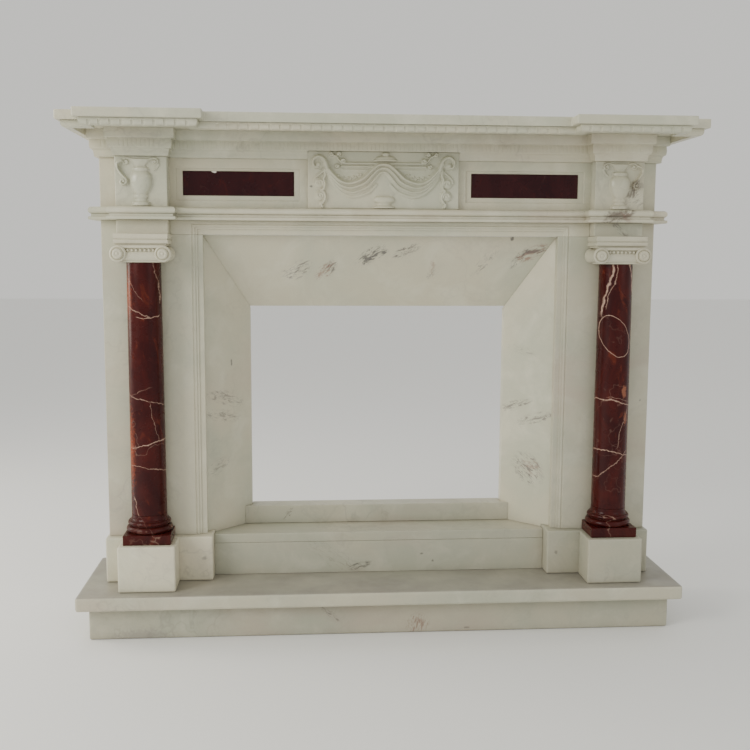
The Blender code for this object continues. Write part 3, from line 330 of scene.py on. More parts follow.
FLOCKS = {
    "head marble": [
        ((-29, 87, 970), (44, 60, 18), 34, 0.80, INK_GREY, 0.80),
        ((-12, 85, 973), (32, 60, 10), 22, 1.00, INK_GREY, 0.80),
        ((-134, 104, 941), (22, 60, 14), 50, 0.90, INK_GREY, 0.75),
        ((-146, 110, 931), (34, 60, 18), 38, 0.90, ROSE_BROWN, 0.65),
        ((-222, 110, 932), (44, 60, 22), 24, 0.80, VEIN_GREY, 0.85),
        ((68, 79, 983), (36, 60, 14), 24, 0.95, VEIN_GREY, 1.00),
        ((141, 104, 941), (34, 60, 10), 84, 0.80, ROSE_BROWN, 0.45),
        ((136, 115, 922), (16, 60, 8), 50, 0.90, INK_GREY, 0.50),
        ((407, 83, 980), (50, 60, 18), 20, 0.90, ROSE_BROWN, 0.75),
        ((412, 80, 985), (34, 60, 12), 14, 0.90, INK_GREY, 0.60),
        ((372, 90, 966), (34, 60, 12), 52, 0.80, INK_GREY, 0.65),
        ((280, 96, 955), (55, 60, 14), 52, 0.70, VEIN_GREY, 0.65)],
    "cheek marble right": [
        ((412.5, 109, 386), (50, 60, 36), -42, 0.82, VEIN_GREY, 0.90),
        ((420, 102, 392), (30, 60, 20), -30, 0.85, ROSE_BROWN, 0.45),
        ((378, 142, 560), (50, 60, 12), 24, 0.90, VEIN_GREY, 0.80),
        ((427, 95, 531), (60, 60, 14), 22, 0.90, VEIN_GREY, 0.80),
        ((393, 127, 715), (40, 60, 12), -16, 0.75, VEIN_GREY, 0.50)],
    "cheek marble left": [
        ((-433.5, 89, 408), (36, 60, 18), 30, 0.75, VEIN_GREY, 0.55),
        ((-416, 105, 590), (60, 60, 18), -24, 0.85, VEIN_GREY, 0.65),
        ((-424, 98, 545), (60, 60, 16), -16, 0.85, VEIN_GREY, 0.60)],
    "step marble": [
        ((-57, 48.5, 138), (30, 40, 10), 16, 0.95, INK_GREY, 0.70),
        ((-110, 48.5, 150), (110, 40, 26), -34, 0.62, VEIN_GREY, 0.50),
        ((-250, 149.5, 256), (22, 40, 8), 48, 0.90, VEIN_GREY, 0.75)],
    "hearth base marble": [
        ((-141, -86.5, 55), (30, 40, 8), -38, 0.85, VEIN_GREY, 0.70),
        ((85, -86.5, 22), (30, 40, 30), 80, 0.80, ROSE_BROWN, 0.70)],
    "impost marble right": [((610, BREAK, 1040), (30, 60, 10), -42, 1.0, VEIN_GREY, 0.70)],
    "string marble": [
        ((600, STRING, 1073), (46, 60, 14), 24, 1.0, DARK_MARK, 0.80),
        ((622, STRING, 1066), (28, 60, 14), -50, 0.9, ROSE_BROWN, 0.30)],
    "corner marble right": [
        ((642, BREAK, 1142), (26, 60, 16), 62, 1.0, DARK_MARK, 0.75),
        ((660, BREAK, 1152), (24, 60, 7), 8, 0.9, DARK_MARK, 0.35),
        ((650, BREAK, 1112), (34, 60, 18), 30, 0.8, VEIN_GREY, 0.55)],
}
SPOTS = {
    "head marble": [((345, 59, 1016), 6, (1.0, 2.0, 1.4), INK_GREY, 0.8)],
    "cheek marble left": [((-399, 122, 685), 5, (0.55, 3.0, 2.2), INK_GREY, 0.65)],
    "step marble": [((112, 48.5, 168), 4.5, (1.3, 2.0, 0.8), INK_GREY, 0.60),
                    ((142, 48.5, 148), 4, (1.0, 2.0, 1.0), INK_GREY, 0.60)],
    # The hearth base's long flat spot is a painted shadow along its foot
    "hearth base marble": [((-620, -86.5, 8), 70, (1.2, 2.0, 0.32), FOOT_SHADOW_PURPLE, 0.35),
                           ((215, -86.5, 10), 6, (1.4, 2.0, 0.7), INK_GREY, 0.5)],
    "leg marble left": [((-472, FACE, 1025.7), 5, (1.8, 2.0, 0.6), INK_GREY, 0.5)],
    "leg marble right": [((694, FACE, 589), 3.5, (1.0, 2.0, 1.2), INK_GREY, 0.5)],
    "plinth marble left": [((-467, 1.5, 181), 8, (1.0, 2.0, 0.8), VEIN_GREY, 0.6)],
    "plinth marble right": [((470, 1.5, 179), 6, (1.0, 2.0, 1.0), VEIN_GREY, 0.6)],
    "string marble": [((590, STRING, 1076), 17, (2.0, 1.6, 0.75), DARK_MARK, 0.75),
                      ((618, STRING, 1066), 10, (1.6, 1.6, 0.7), DARK_MARK, 0.5)],
    "corner marble right": [((640, BREAK, 1143), 11, (0.8, 2, 1.3), DARK_MARK, 0.45),
                            ((628, BREAK, 1128), 6, (0.8, 2, 1.6), DARK_MARK, 0.6)],
    "tablet marble": [((-185, 11.5, 1144), 4, (1.3, 3.0, 0.8), INK_GREY, 0.7)],
}
print("flocks:", sum(map(len, FLOCKS.values())), " spots:", sum(map(len, SPOTS.values())))

# %% [markdown]
# Every marble starts with two positions: the place on the block, for marks, and the place in the
# quarry that the block was cut from, for the general pattern. Each material shifts the second by
# its own amount, so that neighbours don't continue each other.

# %% Start and end of a marble
def start_material(name, shift):
    """A new material, the place on the block and the place in the quarry."""
    material = bpy.data.materials.new(name)
    material.use_nodes = True
    tree = material.node_tree
    place = Wire(tree, add_node(tree, "ShaderNodeTexCoord").outputs["Object"])
    return material, place, place.vector("ADD", shift)


def with_spots(colour, place, spots, origin=(0, 0, 0)):
    """Tints a colour with spots: stains, chips, and some painted light and shade. Their softness is 0.6, unless a
    spot ends with its own.
    """
    for centre, size, stretch, mark_colour, strength, *softness in spots:
        patch = mask(SPOT, place, Centre=mm(centre) + origin, Size=mm(size), Stretch=stretch,
                     Softness=(*softness, 0.6)[0])
        colour = tint(patch * strength, colour, mark_colour)
    return colour


def set_shader(material, **inputs):
    """Sets or links inputs of the shader; an underscore stands for a space."""
    shader = material.node_tree.nodes["Principled BSDF"]
    for key, value in inputs.items():
        plug(shader.inputs[key.replace("_", " ")], value)
    return material


def bumps(height, strength, distance):
    return height.node("ShaderNodeBump", "Normal", {"Height": height, "Strength": strength, "Distance": distance})


print("marble helpers ready")

# %% [markdown]
# The white marble is a warm cream that drifts towards a greenish grey and, in places, a faint
# pink. Fine veins, grime and painted shade in the recesses, and paler edges come over it. Painted
# shade darkens the faces that look up, a painted brightness lightens or darkens a whole block as
# painted light and shade, and polish lowers the roughness of the carved blocks.

# %% White marble
CREAM = (0.610, 0.575, 0.440)
GREEN_GREY = (0.520, 0.525, 0.410)
FAINT_PINK = (0.560, 0.480, 0.385)
PALE = (0.710, 0.690, 0.560)
# Brown for grime and painted shade in the recesses
GRIME_AND_SHADE_BROWN = (0.230, 0.195, 0.145)
# Grey for the painted shade on faces that look up
TOP_SHADE_GREY = (0.260, 0.240, 0.210)


def white_marble(name, shift, veins=0.25, pink=0.35, grime_and_shade=0.6, painted_brightness=1.0, polish=0.0, top_shade=0.0):
    """One block's material, with the marks listed under its name."""
    material, place, moved = start_material(name, shift)
    colour = tint(fade(noise(moved, 3.1, 5.0, 0.55, 0.4), 0.36, 0.64), CREAM, GREEN_GREY)
    blush = noise(moved.vector("MULTIPLY", (1.0, 1.0, 2.2)), 2.4, 4.0)
    colour = tint(fade(blush, 0.5, 0.72, 0.0, pink), colour, FAINT_PINK)
    colour = tint(fade(noise(moved, 9.0, 6.0, 0.62, 0.6), 0.46, 0.74, 0.0, 0.55), colour, PALE)
    grain = noise(moved, 240.0, 3.0, 0.7)
    colour = tint(fade(grain, 0.25, 0.8, 0.06, 0.0), colour, VEIN_GREY)

    fine = mask(VEIN_FIELD, moved, Scale=2.6, Thinness=0.010, Warp=0.12, Cover=0.46)
    faint = mask(VEIN_FIELD, moved, Scale=5.5, Thinness=0.030, Warp=0.20, Cover=0.5)
    lines = fine * veins + faint * (veins * 0.5)
    colour = with_spots(tint(lines, colour, VEIN_GREY), place, SPOTS.get(name, ()))
    for centre, size, angle, density, mark_colour, strength in FLOCKS.get(name, ()):
        strokes = mask(FLOCK, place, Centre=mm(centre), Size=mm(size), Angle=math.radians(angle), Density=density)
        colour = tint(strokes * strength, colour, mark_colour)

    # Grime and painted shade: the recesses are darkened towards a brown
    dirt_and_shade = mask(RECESS_GRIME_AND_SHADE, moved, Reach=0.022, Amount=grime_and_shade)
    colour = tint(dirt_and_shade * 0.55, colour, GRIME_AND_SHADE_BROWN)
    colour = tint(mask(WORN_EDGE, moved, Radius=0.0025, Amount=0.5), colour, PALE)
    # Painted shade: faces that look up are darkened in patches
    if top_shade:
        upward = place.node("ShaderNodeNewGeometry", "True Normal").vector("DOT_PRODUCT", (0, 0, 1))
        shade_patches = fade(noise(moved, 5.0, 5.0, 0.6), 0.30, 0.66, 0.55, 1.0)
        colour = tint(fade(upward, 0.6, 0.9, 0.0, top_shade) * shade_patches, colour, TOP_SHADE_GREY)
    # Painted light and shade: the whole block is made lighter or darker for how the light falls on it
    if painted_brightness != 1.0:
        colour = tint(1.0, colour, (painted_brightness, painted_brightness, painted_brightness), "MULTIPLY")

    sheen = fade(noise(moved, 11.0), 0.3, 0.7, 0.34 - polish, 0.52 - polish)
    height = grain * 0.35 + noise(moved, 34.0, 4.0, 0.6) - lines * 0.8
    return set_shader(material, Base_Color=colour, Roughness=sheen + dirt_and_shade * 0.25,
                      Normal=bumps(height, 0.16, 0.0012), Specular_IOR_Level=0.45)


print("white marble recipe ready")

# %% [markdown]
# The columns are a dark brown-red marble with pale pink veins that run steeply down the shaft. Its
# old polish gives it a thin coat and a low roughness. The inlays are the darkest cut of the same
# sort of stone, and nearly plain. Marks are measured from an origin on the stone, in millimetres.

# %% Red marbles
DEEP_RED = (0.031, 0.0026, 0.0030)
BROWN_RED = (0.058, 0.0060, 0.0046)
RUST_RED = (0.130, 0.022, 0.009)
RED_DUST = (0.16, 0.10, 0.07)
VEIN_PINK = (0.520, 0.350, 0.270)


def red_marble(name, shift, shades, veins, origin, long_veins=(), spots=(), loops=()):
    """Shades are the dark, middle and bright colour. A long vein is a point, the sheet's normal,
    width, reach and strength; a loop is its centre, radii, lean, width and strength."""
    material, place, moved = start_material(name, shift)
    dark, middle, bright = shades
    drawn = moved.vector("MULTIPLY", (1.0, 1.0, 0.45))
    colour = tint(fade(noise(drawn, 13.0, 6.0, 0.62, 1.2), 0.35, 0.66), dark, middle)
    colour = tint(fade(noise(drawn, 24.0, 5.0, 0.6, 1.8), 0.58, 0.74, 0.0, 0.7), colour, bright)
    lines = mask(VEIN_FIELD, moved, Scale=3.2, Thinness=0.0040, Warp=0.06, Cover=0.5) * veins
    for point, normal, width, reach, strength in long_veins:
        line = mask(LONG_VEIN, place, Point=mm(point) + origin, Normal=Vector(normal).normalized(),
                    Width=mm(width), Reach=mm(reach), Wobble=0.030)
        lines = lines.calc("MAXIMUM", line * strength)
    for centre, radii, lean, width, strength in loops:
        line = mask(LOOP, place, Centre=mm(centre) + origin, Radii=mm(radii), Lean=math.radians(lean), Width=width)
        lines = lines.calc("MAXIMUM", line * strength)
    colour = with_spots(tint(lines, colour, VEIN_PINK), place, spots, origin)
    dust = mask(RECESS_GRIME_AND_SHADE, moved, Reach=0.012, Amount=0.4)
    colour = tint(dust * 0.22, colour, RED_DUST)
    colour = tint(mask(WORN_EDGE, moved, Radius=0.0016, Amount=0.25), colour, bright)
    gloss = fade(noise(moved, 16.0), 0.3, 0.7, 0.20, 0.34)
    return set_shader(material, Base_Color=colour, Roughness=gloss + dust * 0.3,
                      Normal=bumps(noise(moved, 30.0, 3.0), 0.05, 0.001), Specular_IOR_Level=0.15,
                      Coat_Weight=0.08, Coat_Roughness=0.12)


print("red marble recipe ready")

# %% [markdown]
# The flat slabs and boards are right as the CAD made them. They only need what a mason's rubbing
# stone gives: a tiny round on every arris. Weld, planar dissolve and bevel modifiers do it without
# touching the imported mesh.

# %% Helper for a flat slab
def keep_slab(node, material, arris=1.2):
    """Rounds a slab's arrises by millimetres and gives it its marble."""
    slab = nodes[node]
    slab.data.shade_flat()
    if slab.data.attributes.get("custom_normal"):
        slab.data.attributes.remove(slab.data.attributes["custom_normal"])
    slab.modifiers.new("weld", "WELD").merge_threshold = 0.00002
    flat = slab.modifiers.new("flat", "DECIMATE")
    flat.decimate_type = "DISSOLVE"
    flat.angle_limit = math.radians(1)
    if arris:
        bevel = slab.modifiers.new("arris", "BEVEL")
        bevel.width = arris / 1000
        bevel.segments = 3
        bevel.limit_method = "ANGLE"
        bevel.angle_limit = math.radians(50)
    for material_slot in slab.material_slots:
        material_slot.material = material


print("slab helper ready")

# %% [markdown]
# Each block gets its own cut of the quarry, its own amount of veins and pink, and a painted
# brightness: painted light and shade that give it the lightness it has in the photograph. The right
# side is painted darker than the left, and the hearth's top carries the most painted shade.

# %% Dress the flat CAD slabs
frieze_marble = white_marble("frieze marble", (5.6, 3.9, 8.2), veins=0.12, pink=0.3)
# Painted shade: the step, the hearth and the hearth base are painted darker
step_marble = white_marble("step marble", (9.4, 6.6, 1.2), veins=0.26, pink=0.6, grime_and_shade=0.9, painted_brightness=0.80)
hearth_marble = white_marble("hearth marble", (0.7, 7.7, 5.5), veins=0.35, pink=0.6, grime_and_shade=0.9, painted_brightness=0.87,
                             top_shade=0.85)
base_marble = white_marble("hearth base marble", (6.1, 4.2, 9.9), veins=0.20, pink=0.8, grime_and_shade=0.9, painted_brightness=0.75)
keep_slab("hearth_base", base_marble, 0)
keep_slab("hearth_slab", hearth_marble, 0)
keep_slab("step_riser", step_marble)
keep_slab("step_tread", step_marble, 0)
keep_slab("back_curb", step_marble, 2.0)
keep_slab("splay_head", white_marble("head marble", (2.2, 9.3, 3.1), veins=0.08, pink=0.15), 0.4)
keep_slab("lintel_board", white_marble("lintel marble", (8.8, 0.2, 4.4), veins=0.12, pink=0.7), 0.8)
keep_slab("frieze_board", frieze_marble, 0.8)
keep_slab("shelf_slab", white_marble("shelf marble", (1.9, 8.4, 7.1), veins=0.2, pink=0.1, grime_and_shade=0.3), 0)
# Painted shade: the left cheek is painted a little darker
keep_slab("cheek_left", white_marble("cheek marble left", (4.0, 2.5, 6.1), veins=0.12, pink=0.5,
                                     painted_brightness=0.97), 0.4)
keep_slab("cheek_right", white_marble("cheek marble right", (7.3, 1.1, 0.9), veins=0.12, pink=0.2), 0.4)

for side, sign in SIDES.items():
    on_left = side == "left"
    # Painted light and shade: blocks on the left are painted lighter, those on the right darker
    leg = white_marble(f"leg marble {side}", (sign * 3.1, 0.4, 1.7), veins=0.16, pink=0.75,
                       painted_brightness=0.97 if on_left else 0.87)
    plinth = white_marble(f"plinth marble {side}", (sign * 1.3, 5.4, 2.2), veins=0.2, pink=0.3,
                          painted_brightness=1.10 if on_left else 0.75)
    impost = white_marble(f"impost marble {side}", (3.3, 3.3, 0.6), veins=0.25, pink=0.2,
                          painted_brightness=0.97 if on_left else 0.88)
    keep_slab(f"leg_plinth_{side}", plinth, 0)
    keep_slab(f"column_block_{side}", plinth, 0)
    keep_slab(f"leg_board_{side}", leg, 0.8)
    keep_slab(f"leg_side_{side}", leg)
    keep_slab(f"impost_{side}", impost)
    keep_slab(f"frieze_side_{side}", frieze_marble)
print("slabs dressed")

# %% [markdown]
# The two inlays are thin polished bars let into the sunk panels. The left one has lost a small
# flake at its upper edge, where the white marble bed shows.

# %% Inlays
CHIP_WHITE = (0.82, 0.78, 0.70)
INLAY_SHADES = ((0.023, 0.0022, 0.0042), (0.034, 0.0044, 0.0060), BROWN_RED)
inlay_low, inlay_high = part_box("inlay_left")
inlay_marble = red_marble("inlay marble", (2.0, 0.0, 5.0), INLAY_SHADES, 0.10, (0, inlay_low.y, inlay_high.z),
                          spots=[((-428.5, 0, -1), 5.4, (1.35, 2.0, 0.62), CHIP_WHITE, 1.0, 0.3)])
for side in SIDES:
    keep_slab(f"inlay_{side}", inlay_marble, 0.6)
print("inlays dressed")

# %% [markdown]
# From here on pieces are built from arrays of points. A helper turns points and faces into a mesh
# object: it welds doubles, turns the faces outwards and shades smooth except at sharp edges.
# Another one puts the piece in the frame in place of its CAD node. Most pieces are rings of points
# stacked into a tube, so the tube's faces have a helper too.

# %% Helpers for mesh pieces
WELD = 0.00001


def mesh_piece(name, vertices, faces, material, sharp=38):
    mesh = bpy.data.meshes.new(name)
    mesh.from_pydata([tuple(float(value) for value in vertex) for vertex in vertices], [], faces)
    shape = bmesh.new()
    shape.from_mesh(mesh)
    bmesh.ops.remove_doubles(shape, verts=shape.verts, dist=WELD)
    bmesh.ops.dissolve_degenerate(shape, dist=WELD / 2, edges=shape.edges)
    bmesh.ops.recalc_face_normals(shape, faces=shape.faces)
    shape.to_mesh(mesh)
    shape.free()
    mesh.shade_smooth()
    mesh.set_sharp_from_angle(angle=math.radians(sharp))
    mesh.materials.append(material)
    return add_object(name, mesh)


def object_from(shape, name, material):
    """Turns a bmesh into an object."""
    mesh = bpy.data.meshes.new(name)
    shape.to_mesh(mesh)
    shape.free()
    mesh.materials.append(material)
    return add_object(name, mesh)


def stand_for(piece, *cad_nodes, slot="white_marble"):
    """The piece rides on the one body and is shown in place of the CAD nodes."""
    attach(piece, "root")
    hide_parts(*cad_nodes)
    print(piece.name, len(piece.data.polygons), "faces")


def tube_faces(rings, size, caps=True):
    """The faces between stacked rings of points, and a cap at both ends."""
    faces = []
    for low in range(0, (rings - 1) * size, size):
        for index in range(size):
            after = (index + 1) % size
            faces.append((low + index, low + after, low + size + after, low + size + index))
    if caps:
        faces += [tuple(range(size)), tuple(range((rings - 1) * size, rings * size))]
    return faces


def arc(centre, radii, start, end, count):
    """Points on an elliptical arc, angles in degrees."""
    angles = np.radians(np.linspace(start, end, count + 1))
    return [(centre[0] + radii[0] * math.cos(a), centre[1] + radii[1] * math.sin(a)) for a in angles]


print("mesh helpers ready")

# %% [markdown]
# A column stands so close to its leg board that a sliver of it is cut off. A turned shape like
# this is a stack of rings. Each ring is cut where it meets the board, so the back is flat and lies
# on the board's face.

# %% Turning against the board
BOARD_GAP = 0.0003
COLUMN_SEGMENTS = 72
COLUMN_DEPTH = 0.035
shaft_low, shaft_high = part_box("column_shaft_right")
COLUMN_X = (shaft_low.x + shaft_high.x) / 2
SHAFT_RADIUS = (shaft_high.x - shaft_low.x) / 2


def turned_against_board(name, profile, axis_x, material):
    """Stacks rings of (radius, z), low to high, cut flat at the board."""
    axis_y = y_of(COLUMN_DEPTH)
    to_board = FACE_Y - BOARD_GAP - axis_y
    vertices = []
    count = COLUMN_SEGMENTS + 1
    for radius, z in profile:
        reach = math.acos(max(-1.0, -to_board / radius)) if radius > to_board else math.pi
        angles = np.linspace(-reach, reach, count)
        vertices += [(axis_x + radius * math.sin(a), axis_y - radius * math.cos(a), z) for a in angles]
    return mesh_piece(name, vertices, tube_faces(len(profile), count), material)


print("column radius in mm:", round(SHAFT_RADIUS * 1000, 1))

# %% [markdown]
# The shafts taper slightly. Their clear veins, the closed loop, the rusty patches on the right shaft and
# the painted warm light along the left shaft's left edge are listed as the photograph shows them, in
# millimetres: X and Y from the middle of the shaft's front, Z from the floor.

# %% Column shafts
SHAFT_TAPER = 0.002
PATCH_RUST = (0.300, 0.110, 0.060)
# Painted light: the warm orange of light grazing the left shaft's left edge
EDGE_LIGHT_ORANGE = (0.340, 0.055, 0.008)
SHAFT_VEINS = {
    "left": [
        ((-20, 0, 890), (1.0, 0.0, 0.72), 0.8, 36, 0.45), ((33, 10, 905), (1.0, 0.0, 0.16), 1.0, 50, 0.60),
        ((-14, 0, 832), (0.55, 0.1, 1.0), 1.3, 34, 0.80), ((18, 0, 811), (0.10, -0.4, 1.0), 1.5, 30, 0.95),
        ((-6, 0, 610), (0.34, 0.0, 1.0), 1.2, 60, 0.70), ((-20, 0, 627), (-0.35, 0.0, 1.0), 0.8, 35, 0.40),
        ((22, 10, 550), (1.0, 0.0, 0.20), 1.0, 45, 0.50), ((0, 0, 493), (-0.25, 0.0, 1.0), 1.6, 80, 0.95),
        ((0, 0, 434), (0.15, 0.1, 1.0), 1.2, 70, 0.80), ((-26, 0, 332), (1.0, 0.0, 0.20), 1.4, 28, 0.60)],
    "right": [
        ((-29, 8, 890), (1.0, 0.0, -0.17), 3.0, 64, 1.00), ((-18, 2, 900), (1.0, 0.0, -0.21), 1.1, 56, 0.75),
        ((31, 15, 925), (1.0, 0.0, 0.16), 2.4, 40, 1.00), ((0, 0, 596), (0.20, 0.1, 1.0), 1.9, 70, 0.95),
        ((10, 0, 603), (0.10, 0.1, 1.0), 0.9, 30, 0.60), ((18, 0, 530), (1.0, 0.0, -0.30), 1.2, 50, 0.60),
        ((-8, 0, 463), (0.25, 0.1, 1.0), 1.5, 60, 0.95), ((-10, 0, 425), (-0.65, 0.0, 0.76), 1.1, 55, 0.70)],
}
SHAFT_LOOPS = {"left": [], "right": [((-8, 4, 766), (35, 60, 57), 28, 0.026, 0.95)]}
SHAFT_PATCHES = {
    # The left shaft's two long patches are painted warm light along its left edge
    "left": [((-40, 26, 868), 22, (0.8, 2.0, 3.4), EDGE_LIGHT_ORANGE, 0.80, 1.1),
             ((-40, 26, 480), 22, (0.8, 2.0, 6.0), EDGE_LIGHT_ORANGE, 0.80, 1.1)],
    "right": [((21, 6, 622), 10, (0.8, 2.0, 1.9), PATCH_RUST, 0.8, 0.4),
              ((27, 10, 552), 8.5, (0.8, 2.0, 2.2), PATCH_RUST, 0.6, 0.4)],
}
RED_SHADES = (DEEP_RED, BROWN_RED, RUST_RED)


def shaft_profile():
    """A slightly tapering shaft with a soft arris at both ends."""
    arris = 0.0008
    levels = np.linspace(shaft_low.z, shaft_high.z, 24)
    share = (levels - shaft_low.z) / (shaft_high.z - shaft_low.z)
    radii = SHAFT_RADIUS - SHAFT_TAPER * share ** 1.4
    body = list(zip(radii, levels))
    return [(radii[0] - arris, shaft_low.z), (radii[0], shaft_low.z + arris), *body[1:-1],
            (radii[-1], shaft_high.z - arris), (radii[-1] - arris, shaft_high.z)]


for side, sign in SIDES.items():
    origin = (sign * COLUMN_X, y_of(COLUMN_DEPTH) - SHAFT_RADIUS, 0)
    stone = red_marble(f"shaft marble {side}", (sign * 1.7, 2.0, 3.0 + sign), RED_SHADES, 0.20, origin,
                       SHAFT_VEINS[side], SHAFT_PATCHES[side], SHAFT_LOOPS[side])
    shaft = turned_against_board(f"turned_shaft_{side}", shaft_profile(), sign * COLUMN_X, stone)
    stand_for(shaft, f"column_shaft_{side}", slot="red_marble")

# %% [markdown]
# Under each shaft sits a turned base on a square plinth: a fat torus, a narrow scotia, a thinner
# ring, and a small flare up to the shaft. It is cut from the same red stone.

# %% Column bases
BASE_LOW, BASE_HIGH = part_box("column_base_right")
PLINTH_HEIGHT = 0.0252
PLINTH_HALF = (BASE_HIGH.x - BASE_LOW.x) / 2
TORUS_RADIUS, TORUS_HEIGHT = 0.0585, 0.0165
RING_RADIUS, RING_HEIGHT = 0.0545, 0.0095
SCOTIA_HEIGHT = 0.0035


def base_profile():
    z = BASE_LOW.z + PLINTH_HEIGHT
    torus, ring = TORUS_HEIGHT / 2, RING_HEIGHT / 2
    points = [(TORUS_RADIUS - torus * 1.05, z)]
    points += arc((TORUS_RADIUS - torus, z + torus), (torus, torus), -88, 88, 14)
    z += TORUS_HEIGHT
    neck = TORUS_RADIUS - torus - 0.0022
    points += [(neck + 0.001, z + 0.0002), (neck, z + 0.001), (neck, z + SCOTIA_HEIGHT - 0.001),
               (neck + 0.001, z + SCOTIA_HEIGHT - 0.0002)]
    z += SCOTIA_HEIGHT
    points += arc((RING_RADIUS - ring, z + ring), (ring, ring), -88, 88, 12)
    z += RING_HEIGHT
    foot = RING_RADIUS - ring - 0.0005
    flare = foot - SHAFT_RADIUS - 0.0012
    points += [(foot, z), (foot, z + 0.0025), (foot - 0.0012, z + 0.0028)]
    return points + arc((SHAFT_RADIUS + flare, BASE_HIGH.z), (flare, BASE_HIGH.z - z - 0.0028), 270, 180, 10)


def beveled_box(name, low, high, material, arris):
    """A box with rounded arrises."""
    shape = bmesh.new()
    bmesh.ops.create_cube(shape, size=1)
    bmesh.ops.scale(shape, vec=Vector(high) - Vector(low), verts=shape.verts)
    bmesh.ops.translate(shape, vec=(Vector(high) + Vector(low)) / 2, verts=shape.verts)
    bmesh.ops.bevel(shape, geom=shape.edges[:], offset=arris, segments=3, profile=0.5, affect="EDGES")
    return object_from(shape, name, material)


for side, sign in SIDES.items():
    centre = sign * COLUMN_X
    stone = red_marble(f"base marble {side}", (sign * 4.1, 1.0, 6.0), RED_SHADES, 0.5, (centre, 0, 0))
    stand_for(turned_against_board(f"turned_base_{side}", base_profile(), centre, stone), f"column_base_{side}",
              slot="red_marble")
    low = (centre - PLINTH_HALF, BASE_LOW.y, BASE_LOW.z)
    high = (centre + PLINTH_HALF, BASE_HIGH.y, BASE_LOW.z + PLINTH_HEIGHT)
    plinth = beveled_box(f"column_plinth_{side}", low, high, stone, 0.0015)
    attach(plinth, "root")

# %% [markdown]
# The courses above run from wall to wall and break forward over the columns. Such a moulding is a
# profile swept along the plan line with mitred corners. Stations along each straight let the
# profile change on its way, which cuts tongues or dentils; where a station passes a corner, its
# points stop at the mitre.

# %% Helper for mitred, carved courses
def carved_run(name, path, section_at, stations_of, material, sharp=38):
    """Sweeps section_at(segment, s, length) -> [(projection, z)] along a path of (x, depth)."""
    path = [Vector(point) for point in path]
    runs = [(b - a).normalized() for a, b in zip(path, path[1:])]
    outs = [Vector((-run.y, run.x)) for run in runs]
    mitres = [outs[0]] + [(a + b) / (1 + a.dot(b)) for a, b in zip(outs, outs[1:])] + [outs[-1]]
    vertices, rings = [], 0
    for index, (start, end) in enumerate(zip(path, path[1:])):
        length = (end - start).length
        lean_in, lean_out = mitres[index].dot(runs[index]), mitres[index + 1].dot(runs[index])
        for s in stations_of(index, length):
            section = section_at(index, s, length)
            for out, z in section:
                held = min(max(s, out * lean_in), length + out * lean_out)
                point = start + runs[index] * held + outs[index] * out
                vertices.append((point.x, y_of(point.y), z))
            rings += 1
    return mesh_piece(name, vertices, tube_faces(rings, len(section)), material, sharp)


BREAK_HALF = 0.058
HALF_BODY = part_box("frieze_board")[1].x
BACK_DEPTH = FACE_Y - cad_high.y
COURSE_BACK = -0.024
# Stations run a little past both ends, so that the widest point reaches its mitre
OVERRUN = 0.075


def mirrored(right):
    """The whole plan line, from its right half."""
    return [(-x, depth) for x, depth in reversed(right)] + right


COURSE_PATH = mirrored([(COLUMN_X - BREAK_HALF, 0), (COLUMN_X - BREAK_HALF, BREAK_DEPTH),
                        (COLUMN_X + BREAK_HALF, BREAK_DEPTH), (COLUMN_X + BREAK_HALF, 0), (HALF_BODY, 0),
                        (HALF_BODY, BACK_DEPTH)])
print("corners of the course:", len(COURSE_PATH))

# %% [markdown]
# The string course is a fat round over a narrow waist and a flat band.

# %% String course
STRING_LOW, STRING_TOP = (corner.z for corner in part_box("string_course"))


def string_section(index, s, length):
    out, low, top = STRING_OUT, STRING_LOW, STRING_TOP
    bulge, waist, band, torus = 0.0089, out - 0.0065, low + 0.0078, top - 0.0180
    points = [(COURSE_BACK, low), (out - 0.0030, low), (out - 0.0008, low + 0.0008), (out, low + 0.0028),
              (out, band - 0.0012), (out - 0.001, band), (waist + 0.001, band + 0.0005), (waist, band + 0.0015),
              (waist, torus - 0.0010), (waist + 0.0008, torus)]
    return points + arc((out - bulge, top - bulge), (bulge, bulge), -78, 90, 12) + [(COURSE_BACK, top)]


def plain_stations(index, length):
    return (-OVERRUN, length + OVERRUN)


string_marble = white_marble("string marble", (4.9, 2.7, 1.1), veins=0.2, pink=0.5)
stand_for(carved_run("moulded_string_course", COURSE_PATH, string_section, plain_stations, string_marble),
          "string_course")

# %% [markdown]
# The bed mould steps out to the shelf. Its middle band is cut with small upright tongues, about a
# centimetre apart, which time and cleaning have left soft and shallow.

# %% Bed mould with its tongues
BED_LOW, BED_TOP = (corner.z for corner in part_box("bed_mould"))
FASCIA_OUT, BAND_OUT, COVE_OUT, FILLET_OUT = 0.026, 0.020, 0.0165, 0.010
FASCIA_LOW, BAND_LOW, COVE_LOW = BED_TOP - 0.0230, BED_TOP - 0.0465, BED_LOW + 0.0060
TONGUE_PITCH, TONGUE_DEPTH = 0.0105, 0.0009


def tongue_cut(s):
    """0 on a tongue's crown, 1 in the groove between two."""
    phase = abs(((s / TONGUE_PITCH) % 1) - 0.5) * 2
    return max(0.0, (phase - 0.72) / 0.28) ** 0.7


